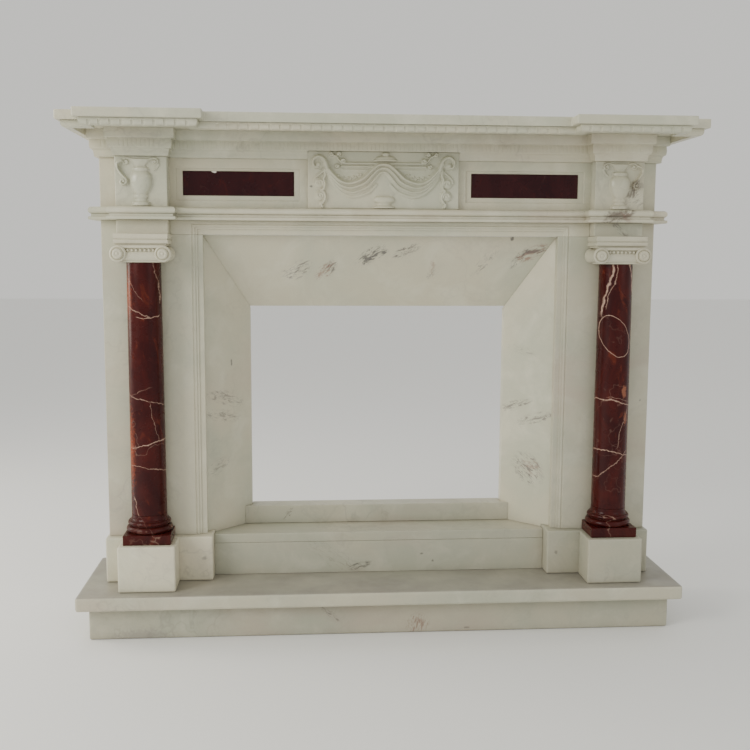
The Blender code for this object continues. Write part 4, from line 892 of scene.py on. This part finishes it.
def bed_section(index, s, length):
    cut = TONGUE_DEPTH * tongue_cut(s) if min(s, length - s) > 0.004 else 0.0
    points = [(COURSE_BACK, BED_LOW), (FILLET_OUT - 0.0008, BED_LOW), (FILLET_OUT, BED_LOW + 0.0008),
              (FILLET_OUT, COVE_LOW - 0.0006)]
    points += arc((COVE_OUT, COVE_LOW), (COVE_OUT - FILLET_OUT - 0.0006, BAND_LOW - COVE_LOW - 0.0012), 180, 90, 8)
    points += [(COVE_OUT + 0.0006, BAND_LOW - 0.0006), (BAND_OUT - 0.0022, BAND_LOW)]
    top = FASCIA_LOW - 0.0012
    for share in (0.06, 0.15, 0.35, 0.6, 0.8, 0.93, 1.0):
        swell = 0.0016 * math.sin(math.pi * min(share, 0.9))
        ease = min(1.0, min(share, 1 - share) / 0.12)
        points.append((BAND_OUT - 0.0018 + swell - cut * max(0.0, ease), BAND_LOW + (top - BAND_LOW) * share))
    return points + [(FASCIA_OUT - 0.0014, FASCIA_LOW - 0.0006), (FASCIA_OUT, FASCIA_LOW + 0.0010),
                     (FASCIA_OUT, BED_TOP), (COURSE_BACK, BED_TOP)]


def tongue_stations(index, length):
    """Eight stations to a tongue, and none between a straight's end and its mitre."""
    return [-OVERRUN, *np.arange(0.0, length, TONGUE_PITCH / 8), length, length + OVERRUN]


bed_marble = white_marble("bed mould marble", (7.9, 5.1, 3.8), veins=0.2, pink=0.4, grime_and_shade=0.4)
bed_mould = carved_run("tongued_bed_mould", COURSE_PATH, bed_section, tongue_stations, bed_marble, sharp=50)
print("bed mould swept")

# %% [markdown]
# The centre tablet stands up into the bed mould, which is notched for it, so the moulding dies
# against the tablet's two ends. A boolean cut does the same here.

# %% Notch for the tablet
TABLET_LOW, TABLET_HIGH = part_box("centre_tablet")


def cut_away(piece, low, high):
    """Cuts a plain box out of a piece and keeps the result."""
    cutter = beveled_box("cutter", low, high, piece.data.materials[0], 0.00005)
    boolean = piece.modifiers.new("cut", "BOOLEAN")
    boolean.object = cutter
    boolean.solver = "EXACT"
    depsgraph = bpy.context.evaluated_depsgraph_get()
    mesh = bpy.data.meshes.new_from_object(piece.evaluated_get(depsgraph), depsgraph=depsgraph)
    piece.modifiers.clear()
    piece.data = mesh
    bpy.data.objects.remove(cutter, do_unlink=True)


cut_away(bed_mould, (TABLET_LOW.x - BOARD_GAP, y_of(0.08), BED_LOW - 0.01),
         (TABLET_HIGH.x + BOARD_GAP, y_of(0), TABLET_HIGH.z + BOARD_GAP))
stand_for(bed_mould, "bed_mould")

# %% [markdown]
# Square dentils hang under the shelf's edge. The strip is the same kind of sweep; here the profile
# steps back two millimetres in every gap.

# %% Dentil strip
DENTIL_LOW, DENTIL_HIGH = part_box("dentil_strip")
SHELF_LOW, SHELF_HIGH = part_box("shelf_slab")
DENTIL_INSET = SHELF_HIGH.x - DENTIL_HIGH.x
DENTIL_BACK = DENTIL_INSET + 0.0225
DENTIL_PITCH, DENTIL_GAP, DENTIL_CUT = 0.0245, 0.0062, 0.0020
SHELF_FRONT, SHELF_BREAK = 0.196, FACE_Y - SHELF_LOW.y
SHELF_INNER, SHELF_OUTER = COLUMN_X - 0.170, COLUMN_X + 0.120
SHELF_PATH = mirrored([(SHELF_INNER, SHELF_FRONT), (SHELF_INNER, SHELF_BREAK), (SHELF_OUTER, SHELF_BREAK),
                       (SHELF_OUTER, SHELF_FRONT), (SHELF_HIGH.x, SHELF_FRONT), (SHELF_HIGH.x, BACK_DEPTH)])


def dentil_gaps(length):
    """Where the gaps between dentils are centred on a straight of the shelf."""
    count = int((length - DENTIL_INSET * 2) / DENTIL_PITCH)
    first = (length - (count - 1) * DENTIL_PITCH) / 2
    return [first + step * DENTIL_PITCH for step in range(count)] if count > 1 else []


def dentil_section(index, s, length):
    in_gap = any(abs(s - centre) < DENTIL_GAP / 2 - 0.0001 for centre in dentil_gaps(length))
    cut = DENTIL_CUT if in_gap else 0.0
    low, top, foot, face = DENTIL_LOW.z, DENTIL_HIGH.z, DENTIL_HIGH.z - 0.0035, -DENTIL_INSET
    return [(-DENTIL_BACK, low), (face - 0.0058 - cut * 0.3, low), (face - 0.0030 - cut, low + 0.0016),
            (face - 0.0008 - cut, low + 0.0050), (face - cut, low + 0.0090), (face - cut, foot - 0.0010),
            (face - cut * 0.5, foot), (face, foot + 0.0010), (face, top), (-DENTIL_BACK, top)]


def dentil_stations(index, length):
    half, edge = DENTIL_GAP / 2, 0.0005
    steps = (-half - edge, -half + edge, half - edge, half + edge)
    marks = [centre + step for centre in dentil_gaps(length) for step in steps]
    return sorted([-OVERRUN, length + OVERRUN, *marks])


dentil_marble = white_marble("dentil marble", (0.4, 6.3, 2.9), veins=0.15, pink=0.15, grime_and_shade=0.12)
stand_for(carved_run("dentil_course", SHELF_PATH, dentil_section, dentil_stations, dentil_marble, sharp=30),
          "dentil_strip")

# %% [markdown]
# Carved forms follow smooth lines through a few given knots, or they are spirals. Both give
# their points in millimetres, X from the block's middle and Z from its foot. The argument way
# mirrors a line for the other half of a carving.

# %% Curves for carving
def smooth_path(knots, per_span=8, way=1):
    """Points on a smooth curve through the knots."""
    knots = np.array(knots, float) * (way, 1)
    ends = np.vstack((knots[:1], knots, knots[-1:]))
    steps = np.linspace(0, 1, per_span, endpoint=False)[:, None]
    spans = []
    for before, start, end, after in zip(ends, ends[1:], ends[2:], ends[3:]):
        bend = 2 * before - 5 * start + 4 * end - after
        rate = -before + 3 * start - 3 * end + after
        spans.append((2 * start + (end - before) * steps + bend * steps ** 2 + rate * steps ** 3) / 2)
    return np.vstack((*spans, knots[-1:]))


def spiral(centre, start_radius, end_radius, start_angle, turns, count=40):
    """Points of a scroll that winds in; angles in degrees, positive turns run anticlockwise."""
    share = np.linspace(0, 1, count)
    radius = start_radius + (end_radius - start_radius) * share ** 0.8
    angle = np.radians(start_angle) + share * turns * 2 * np.pi
    return np.stack((centre[0] + radius * np.cos(angle), centre[1] + radius * np.sin(angle)), 1)


print("curves ready")

# %% [markdown]
# Low relief is a height field: for every point of a fine grid, how far the stone stands proud.
# Each carved form raises the grid inside its own outline, and where two forms meet the higher one
# wins, which leaves the crisp valleys that a chisel leaves. The forms are a roll along a path, a
# groove, half a turned vessel, and a small dome.

# %% Relief
class Relief:
    """Heights in metres over a block's front. The forms are given in millimetres, X from the
    block's middle and Z from its foot."""

    def __init__(self, middle, width, low_z, high_z, cell):
        self.origin = (middle, low_z)
        self.columns = int(round(width / cell)) + 1
        self.rows = int(round((high_z - low_z) / cell)) + 1
        self.x, self.z = np.meshgrid(np.linspace(middle - width / 2, middle + width / 2, self.columns),
                                     np.linspace(low_z, high_z, self.rows))
        self.height = np.zeros_like(self.x)

    def near(self, path, reach):
        """Distance to a path, and how far along it the nearest point is, 0 to 1."""
        path = mm(path) + self.origin
        nearest = np.full(self.x.shape, reach * 1.001)
        along = np.zeros(self.x.shape)
        lengths = np.hypot(*np.diff(path, axis=0).T)
        starts = np.concatenate(([0.0], np.cumsum(lengths)))
        for (ax, az), (bx, bz), length, start in zip(path, path[1:], lengths, starts):
            if length == 0:
                continue
            window = ((self.x > min(ax, bx) - reach) & (self.x < max(ax, bx) + reach)
                      & (self.z > min(az, bz) - reach) & (self.z < max(az, bz) + reach))
            px, pz = self.x[window], self.z[window]
            share = np.clip(((px - ax) * (bx - ax) + (pz - az) * (bz - az)) / length ** 2, 0, 1)
            gap = np.hypot(px - ax - share * (bx - ax), pz - az - share * (bz - az))
            old, old_along = nearest[window], along[window]
            closer = gap < old
            old[closer] = gap[closer]
            old_along[closer] = (start + share[closer] * length) / starts[-1]
            nearest[window], along[window] = old, old_along
        return nearest, along

    def raise_to(self, inside, level):
        self.height[inside] = np.maximum(self.height[inside], level[inside])

    def roll(self, path, width, height, taper=1.0):
        """A round roll along a path; taper scales the width of its far end."""
        half = mm(width) / 2
        distance, along = self.near(path, half * max(1.0, taper))
        half = half * (1 + (taper - 1) * along)
        ratio = np.clip(distance / half, 0, 1)
        self.raise_to(distance < half, mm(height) * (1 - ratio ** 2) ** 0.5)

    def groove(self, path, width, depth):
        half = mm(width) / 2
        distance, _ = self.near(path, half)
        inside = distance < half
        self.height[inside] -= (mm(depth) * (1 - (distance / half) ** 2))[inside]

    def turned(self, middle, profile, depth, base=0.0):
        """Half a turned vessel, as (z, half width); depth is its projection by half width."""
        levels, half_widths = mm(profile).T
        half = np.interp(self.z, levels + self.origin[1], half_widths, left=0, right=0)
        across = self.x - (mm(middle) + self.origin[0])
        self.raise_to(np.abs(across) < half, mm(base) + depth * np.sqrt(np.clip(half ** 2 - across ** 2, 0, None)))

    def dome(self, centre, radii, height):
        (x, z), (wide, high) = mm(centre) + self.origin, mm(radii)
        ratio = ((self.x - x) / wide) ** 2 + ((self.z - z) / high) ** 2
        self.raise_to(ratio < 1, mm(height) * np.sqrt(np.clip(1 - ratio, 0, None)))

    def soften(self, times=1):
        """A light blur, as from sanding and wear."""
        for _ in range(times):
            padded = np.pad(self.height, 1, mode="edge")
            self.height = (padded[:-2, 1:-1] + padded[2:, 1:-1] + padded[1:-1, :-2] + padded[1:-1, 2:]
                           + 4 * self.height) / 8


print("relief ready")

# %% [markdown]
# A finished height field becomes the front of a block with rounded arrises. Its rim is joined to a
# flat back, so the block is closed all round.

# %% From relief to block
def relief_block(name, relief, face_depth, material, arris=0.0012):
    rows, columns = relief.rows, relief.columns
    edge = np.minimum.reduce([relief.x - relief.x.min(), relief.x.max() - relief.x, relief.z - relief.z.min(),
                              relief.z.max() - relief.z])
    lost = np.clip(arris - edge, 0, arris)
    front = face_depth + relief.height * np.clip(edge / arris, 0, 1) - (arris - np.sqrt(arris ** 2 - lost ** 2))
    vertices = np.stack((relief.x, y_of(front), relief.z), -1).reshape(-1, 3).tolist()
    faces = []
    for row in range(rows - 1):
        for start in range(row * columns, row * columns + columns - 1):
            faces.append((start, start + 1, start + columns + 1, start + columns))
    rim = list(range(columns)) + [row * columns + columns - 1 for row in range(1, rows)]
    rim += list(range((rows - 1) * columns + columns - 2, (rows - 1) * columns - 1, -1))
    rim += [row * columns for row in range(rows - 2, 0, -1)]
    first = len(vertices)
    vertices += [(vertices[index][0], y_of(BOARD_GAP), vertices[index][2]) for index in rim]
    for index in range(len(rim)):
        after = (index + 1) % len(rim)
        faces.append((rim[index], rim[after], first + after, first + index))
    faces.append(tuple(range(first, len(vertices))))
    return mesh_piece(name, vertices, faces, material, sharp=60)


print("relief blocks ready")

# %% [markdown]
# Each corner block carries a covered urn on a foot, with a leafy cup above its lip and a handle
# that drops from the cup's scroll to a small ring beside the body. The vessel is half a turned
# form; the scrolls are spirals. The right block is painted darker as painted shade, with a dark stain beside the
# urn.

# %% Corner blocks with urns
BLOCK_LOW, BLOCK_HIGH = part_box("corner_block_right")
FINE_CELL = 0.0008

# Height above the block's foot and half width, from the foot's dish up to the collar
URN = ((0, 20.5), (2, 22.4), (9.5, 22), (12, 16), (14, 13.8), (18.5, 13.8), (20.5, 16.2), (24, 17), (27.2, 16.2),
       (29, 14.2), (31.5, 16), (38, 20), (44.6, 23.2), (52, 25.7), (60, 27), (68, 27), (74, 26), (79, 23.8),
       (82.5, 21), (84.5, 18.6), (85.5, 17.2), (86.8, 17.2), (88.2, 19.4), (93.2, 19.4), (94.6, 17.2), (96, 13.5))
CUP = ((95, 12.5), (99, 11.8), (104, 14), (110, 19.5), (116, 25.5))


def carve_urn(sign):
    """The relief of one block; the handle hangs on its outer side."""
    relief = Relief(sign * (BLOCK_LOW.x + BLOCK_HIGH.x) / 2, BLOCK_HIGH.x - BLOCK_LOW.x, BLOCK_LOW.z,
                    BLOCK_HIGH.z, FINE_CELL)
    relief.turned(0, URN, 0.62)
    # The cup over the lip widens upwards between two scrolls
    relief.turned(0, CUP, 0.30, base=2)
    for way in (-1, 1):
        eye = (way * 35.5, 108.5)
        relief.roll(smooth_path([(6, 99), (12, 105), (22, 115), (32, 117.5)], way=way), 5.2, 5.2)
        relief.roll(spiral(eye, 9.0, 2.2, 90 + 15 * way, -1.25 * way), 5.6, 5.8, taper=0.8)
        relief.dome(eye, (3.6, 3.6), 5.5)
    # The handle ends in a ring
    handle = smooth_path([(45, 111), (55.5, 104), (54.5, 91), (45.5, 77), (34.5, 66)], way=sign)
    relief.roll(handle, 7.8, 11.0, taper=0.75)
    ring = (sign * 43, 60)
    relief.roll(spiral(ring, 10.0, 3.0, 70, 1.25 * sign), 6.6, 9.5, taper=0.8)
    relief.dome(ring, (3.6, 3.6), 7.5)
    # The inner handle is only begun: a short leaf under the inner scroll
    relief.roll(smooth_path([(44, 103), (40, 94), (32, 87)], way=-sign), 6.0, 3.2, taper=0.5)
    relief.soften(2)
    return relief


for side, sign in SIDES.items():
    # Painted shade: the right urn block is painted darker
    stone = white_marble(f"corner marble {side}", (sign * 2.6, 8.1, 0.3), veins=0.35, pink=0.1, polish=0.14,
                         painted_brightness=1.0 if side == "left" else 0.92)
    stand_for(relief_block(f"urn_block_{side}", carve_urn(sign), BREAK_DEPTH, stone), f"corner_block_{side}")

# %% [markdown]
# The tablet in the middle of the frieze is the richest carving. A wide covered bowl on a foot
# stands behind a cloth that is hung in two swags from hooks at both ends. Curled ribbons end the
# bowl's rim, berries lie in the hollows of the cloth, and two leafy lobes hang below each hook.
# The vessel and the swags are lists of knots.

# %% Knots of the tablet
BOWL = ((27, 24), (40, 29), (60, 27), (80, 20), (95, 9))
FOOT = ((0, 27), (3, 28.5), (6, 26), (8, 17.5), (12, 16.5), (14.5, 19), (16.5, 24), (19.5, 27), (24, 27.5),
        (27.5, 26.2), (30, 22.5), (31.2, 18))
LID = ((118.5, 29), (120, 31), (122.5, 30), (124, 26.5), (128.5, 24), (131.5, 16), (133.5, 6))
KNOB = ((132, 5), (133.5, 8), (137, 9.5), (140.5, 7.5), (142, 3))
# Each roll of cloth runs from the middle down and up again to the hook: knots, width, height
SWAGS = (
    ([(0, 110.5), (14, 108), (30, 95.5), (50, 76.5), (70, 66.5), (90, 62.5), (110, 68), (128, 83), (144, 101),
      (151, 113)], 10.0, 13.5),
    ([(0, 101.5), (12, 98.5), (26, 86), (44, 66.5), (66, 56), (86, 51.5), (108, 57.5), (128, 74), (143, 93)],
     9.5, 10.5),
    ([(0, 92), (10, 88), (22, 74), (38, 56), (60, 45), (80, 40.5), (104, 47), (126, 65), (141, 85)], 8.5, 8.2),
    ([(18, 60), (34, 44), (56, 34), (78, 30), (102, 37), (124, 56), (139, 77)], 8.0, 5.5),
)
HOOK = ((143, 96), (147, 112), (154, 124), (166, 129), (176.5, 123.5), (180, 113), (175.5, 103.5), (167, 103))
TAIL = ((150, 98), (149, 83), (153, 74), (150, 62), (152, 50), (157.5, 45), (151, 38), (149, 26), (153, 17),
        (159, 11), (156, 3))
LEAF = ((150, 96), (160, 88), (174, 76), (178, 64))
RIM_END = ((106, 113), (114, 121), (120, 129), (125.5, 132))
# Centre, radius and first angle of each ribbon's curl
CURLS = ((133.5, 136, 5.2, 200), (113, 135.8, 5.2, 340), (102.5, 119, 5.6, 20), (119, 106, 5.2, 160))
print("rolls of cloth on one half:", len(SWAGS))

# %% [markdown]
# The carving is built from the back to the front: bowl, foot and lid, the reeds of the rim, the
# cloth, and at last the small curls and berries. One half is carved twice, mirrored.

# %% Centre tablet
TABLET_CELL = 0.001
TABLET_DEPTH = 0.012
TABLET_RELIEF = 0.0185
BERRIES = 12


def carve_half(relief, way):
    for knots, width, height in reversed(SWAGS):
        fold = smooth_path(knots, 10, way)
        relief.roll(fold, width * 1.5, height * 0.55)
        relief.roll(fold, width, height)
    for knots, width, height in SWAGS[:3]:
        relief.groove(smooth_path(knots, 10, way) - (0, width * 0.36), 2.2, 2.2)
    # The cloth ends in a thick hook that rolls over and curls in
    hook = smooth_path(HOOK, 12, way)
    relief.dome((way * 165, 113), (15, 16), 8.5)
    relief.roll(hook, 11.8, 14.0, taper=0.70)
    relief.groove(hook[:60] - (way * 1.8, 0), 2.0, 1.6)
    relief.dome((way * 166.5, 109), (8.2, 8.6), 14.0)
    # Below it hang two leafy lobes, one over the other, with a wavy inner edge
    for x, z, radius in ((164, 64, 13.0), (163, 32, 12.5)):
        relief.dome((way * x, z), (radius, radius * 1.08), 6.2)
        relief.roll(spiral((way * x, z), radius * 0.78, 2.0, 90 + 110 * way, -1.1 * way), 4.4, 8.6, taper=0.8)
    relief.roll(smooth_path(TAIL, 8, way), 7.8, 7.8)
    relief.roll(smooth_path(LEAF, 8, way), 7.0, 5.0, taper=0.6)
    # Ribbons curl up at the ends of the rim
    for x, z, radius, start in CURLS:
        angle = start if way > 0 else 180 - start
        relief.roll(spiral((way * x, z), radius, 2.2, angle, 1.2 * way), 4.6, 10.0, taper=0.9)
        relief.dome((way * x, z), (2.6, 2.6), 8.0)
    relief.roll(smooth_path(RIM_END, 8, way), 5.6, 6.5)
    # Berries lie in the hollow of the cloth
    for index in range(BERRIES):
        share = index / (BERRIES - 1)
        z = 90.5 - 17.0 * math.sin(math.pi * (0.10 + 0.80 * share)) + 4.2 * (index % 2)
        relief.dome((way * (58 + 70 * share), z), (3.2, 2.8), 3.6)


def carve_tablet():
    relief = Relief(0.0, TABLET_HIGH.x - TABLET_LOW.x, TABLET_LOW.z, TABLET_HIGH.z, TABLET_CELL)
    # The cloth falls smoothly over the bowl, so only its foot and its lid stand clear
    relief.turned(0, BOWL, 0.12)
    relief.soften(6)
    relief.turned(1, FOOT, 0.44)
    relief.turned(4, LID, 0.34, base=1)
    relief.turned(5, KNOB, 0.75, base=2)
    # Two reeds of the wide rim and a third, fainter one
    for z, half, width, height in ((113.4, 101, 6.2, 6.0), (105.6, 108, 5.8, 5.8), (96.5, 104, 6.0, 2.0)):
        relief.roll([(-half, z), (half, z)], width, height)
    for way in (-1, 1):
        carve_half(relief, way)
    relief.height = np.minimum(relief.height, TABLET_RELIEF)
    relief.soften(2)
    return relief


tablet_marble = white_marble("tablet marble", (9.1, 1.4, 6.8), veins=0.10, pink=0.3, grime_and_shade=0.8, polish=0.06)
stand_for(relief_block("carved_tablet", carve_tablet(), TABLET_DEPTH, tablet_marble), "centre_tablet")

# %% [markdown]
# The capital is Ionic: a bolster rolled up at each side, with a disc and an eye on its front, a
# plain cushion between them under a row of small eggs, and a moulded abacus of two slabs on top.
# Its profiles are lists in millimetres: the bolster's runs from the eye over the disc and back
# along the waisted roll, the cushion's runs up the front, and the abacus steps in by an inset.

# %% Profiles of the capital
CAPITAL_LOW, CAPITAL_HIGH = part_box("capital_right")
ABACUS_HALF, ABACUS_FRONT, ABACUS_HEIGHT = 0.0660, 0.081, 0.0250
BOLSTER_RADIUS = 0.0208
BOLSTER_Z = CAPITAL_LOW.z + BOLSTER_RADIUS + 0.0002
BOLSTER_X = (CAPITAL_HIGH.x - CAPITAL_LOW.x) / 2 - BOLSTER_RADIUS - 0.0012
EGG_PITCH = 0.0104

# Radius and depth in front of the board
BOLSTER = [(0.1, 97.0), (1.8, 96.8), (3.2, 96.2), (4.2, 95.0), (5.2, 94.8), (6.4, 95.8), (8.5, 96.2),
           (10.8, 95.6), (12.4, 94.0), (13.1, 91.6), (13.4, 88.8), (14.2, 88.0), (15.2, 89.4), (17.0, 90.2),
           (19.0, 89.4), (20.3, 87.8), (20.8, 85.6), (20.8, 83.4), (19.6, 82.5)]
BOLSTER += [(19.6 - 3.6 * math.sin(math.pi * share) ** 0.8, 82.5 - 77.5 * share)
            for share in np.linspace(0.06, 0.94, 12)]
BOLSTER += [(19.8, 7.0), (20.0, 5.0), (0.1, 5.0)]

# Depth and height above the capital's foot, from the bottom fillet to the abacus
CUSHION = [(0.3, 0), (80.0, 0), (81.2, 0.8), (81.2, 3.0), (80.6, 3.8), (80.0, 4.2)]
CUSHION += [(80.0 + 4.8 * math.sin(math.pi * share) ** 0.7, 4.2 + 22.2 * share)
            for share in np.linspace(0.08, 0.92, 9)]
CUSHION += [(80.0, 26.6), (79.2, 27.2), (79.2, 34.2), (83.0, 34.7), (85.6, 35.4), (86.2, 36.4), (86.2, 40.8),
            (85.2, 41.6), (79.0, 42.0), (0.3, 42.0)]

# Height above the abacus's foot and inset
ABACUS = [(-4.0, 5.0), (0, 5.0), (0.3, 1.2), (1.6, 0), (9.0, 0), (10.2, 1.0), (10.6, 2.4), (12.2, 2.4),
          (12.6, 0.8), (14.2, 0), (23.4, 0), (24.6, 0.5), (25.0, 1.4)]
print("points in the bolster's profile:", len(BOLSTER))

# %% [markdown]
# The bolsters are turned about a line that runs front to back; the cushion is a prism that runs
# sideways between them. All parts of a capital become one mesh.

# %% Capitals
def lathe_forward(profile, centre_x, centre_z, segments=48):
    """Turns a profile of (radius, depth) about a line that runs front to back."""
    angles = [2 * math.pi * step / segments for step in range(segments)]
    vertices = [(centre_x + radius * math.cos(a), y_of(depth), centre_z + radius * math.sin(a))
                for radius, depth in profile for a in angles]
    return vertices, tube_faces(len(profile), segments, caps=False)


def prism_along_x(profile, low_x, high_x):
    vertices = [(x, y_of(depth), z) for x in (low_x, high_x) for depth, z in profile]
    return vertices, tube_faces(2, len(profile))


def stepped_block(low_x, high_x, front, levels):
    """Front and sides step in by an inset at each (z, inset); the back is flat."""
    vertices = []
    for z, inset in levels:
        vertices += [(low_x + inset, y_of(BOARD_GAP), z), (low_x + inset, y_of(front - inset), z),
                     (high_x - inset, y_of(front - inset), z), (high_x - inset, y_of(BOARD_GAP), z)]
    return vertices, tube_faces(len(levels), 4)


def egg(centre_x, depth, z, radii, rings=7, segments=12):
    """A small egg, as a stack of rings."""
    angles = [2 * math.pi * step / segments for step in range(segments)]
    vertices = [(centre_x + radii[0] * math.sin(tilt) * math.cos(a),
                 y_of(depth + radii[1] * math.sin(tilt) * math.sin(a)), z + radii[2] * math.cos(tilt))
                for tilt in np.linspace(0.05, math.pi - 0.05, rings) for a in angles]
    return vertices, tube_faces(rings, segments)


def join_parts(parts):
    """One list of vertices and faces from several."""
    vertices, faces = [], []
    for more_vertices, more_faces in parts:
        first = len(vertices)
        vertices += more_vertices
        faces += [tuple(first + index for index in face) for face in more_faces]
    return vertices, faces


for side, sign in SIDES.items():
    centre = sign * COLUMN_X
    foot = CAPITAL_LOW.z
    parts = [lathe_forward(mm(BOLSTER), centre + way * BOLSTER_X, BOLSTER_Z) for way in (-1, 1)]
    parts.append(prism_along_x(mm(CUSHION) + (0, foot), centre - BOLSTER_X, centre + BOLSTER_X))
    parts.append(stepped_block(centre - ABACUS_HALF, centre + ABACUS_HALF, ABACUS_FRONT,
                               mm(ABACUS) + (CAPITAL_HIGH.z - ABACUS_HEIGHT, 0)))
    for index in range(-3, 4):
        x = centre + index * EGG_PITCH
        parts.append(egg(x, 0.0796, foot + 0.0300, (0.0038, 0.0046, 0.0042)))
        if index < 3:
            parts.append(egg(x + EGG_PITCH / 2, 0.0788, foot + 0.0296, (0.0010, 0.0030, 0.0036), 5, 8))
    # Painted shade: the right capital is painted darker
    stone = white_marble(f"capital marble {side}", (sign * 6.2, 0.9, 4.7), veins=0.10, pink=0.2, grime_and_shade=0.35,
                         painted_brightness=1.0 if side == "left" else 0.91)
    stand_for(mesh_piece(f"ionic_capital_{side}", *join_parts(parts), stone, sharp=45), f"capital_{side}")

# %% [markdown]
# The stage is as plain as a catalogue picture: a pale floor and a pale, even room light. The main
# light is a broad panel at the front left. A weak one at the front right keeps the shadows open, a
# warm one from the left rear grazes the left edges, and a large one overhead lights the shelf.

# %% Floor and light
FLOOR_SIZE = 40.0
floor_material = bpy.data.materials.new("pale floor")
floor_material.use_nodes = True
set_shader(floor_material, Base_Color=(0.88, 0.88, 0.87, 1), Roughness=0.75)
shape = bmesh.new()
bmesh.ops.create_grid(shape, x_segments=2, y_segments=2, size=FLOOR_SIZE / 2)
floor = object_from(shape, "floor", floor_material)
floor.location.z = cad_low.z - 0.0005


def soft_panel(name, location, size, power, colour):
    """A rectangular light that looks at the middle of the mantel."""
    light = bpy.data.lights.new(name, "AREA")
    light.shape = "RECTANGLE"
    light.size, light.size_y = size
    light.energy = power
    light.color = colour
    made = add_object(name, light)
    made.location = location
    made.rotation_euler = ((cad_low + cad_high) / 2 - Vector(location)).to_track_quat("-Z", "Y").to_euler()


soft_panel("overhead panel", (-1.2, 0.6, 3.4), (2.6, 1.8), 16, (1.0, 0.98, 0.90))
soft_panel("left panel", (-3.0, -2.0, 2.0), (1.4, 1.6), 70, (1.0, 0.98, 0.90))
soft_panel("right panel", (3.0, -3.2, 1.9), (2.2, 2.2), 14, (0.97, 1.0, 0.95))
soft_panel("side panel", (-2.9, 0.75, 1.4), (0.9, 1.8), 28, (1.0, 0.92, 0.78))

world = bpy.data.worlds.new("pale room")
bpy.context.scene.world = world
world.use_nodes = True
background = world.node_tree.nodes["Background"]
background.inputs["Color"].default_value = (1.0, 0.99, 0.945, 1)
background.inputs["Strength"].default_value = 0.80
print("lights:", len(bpy.data.lights))
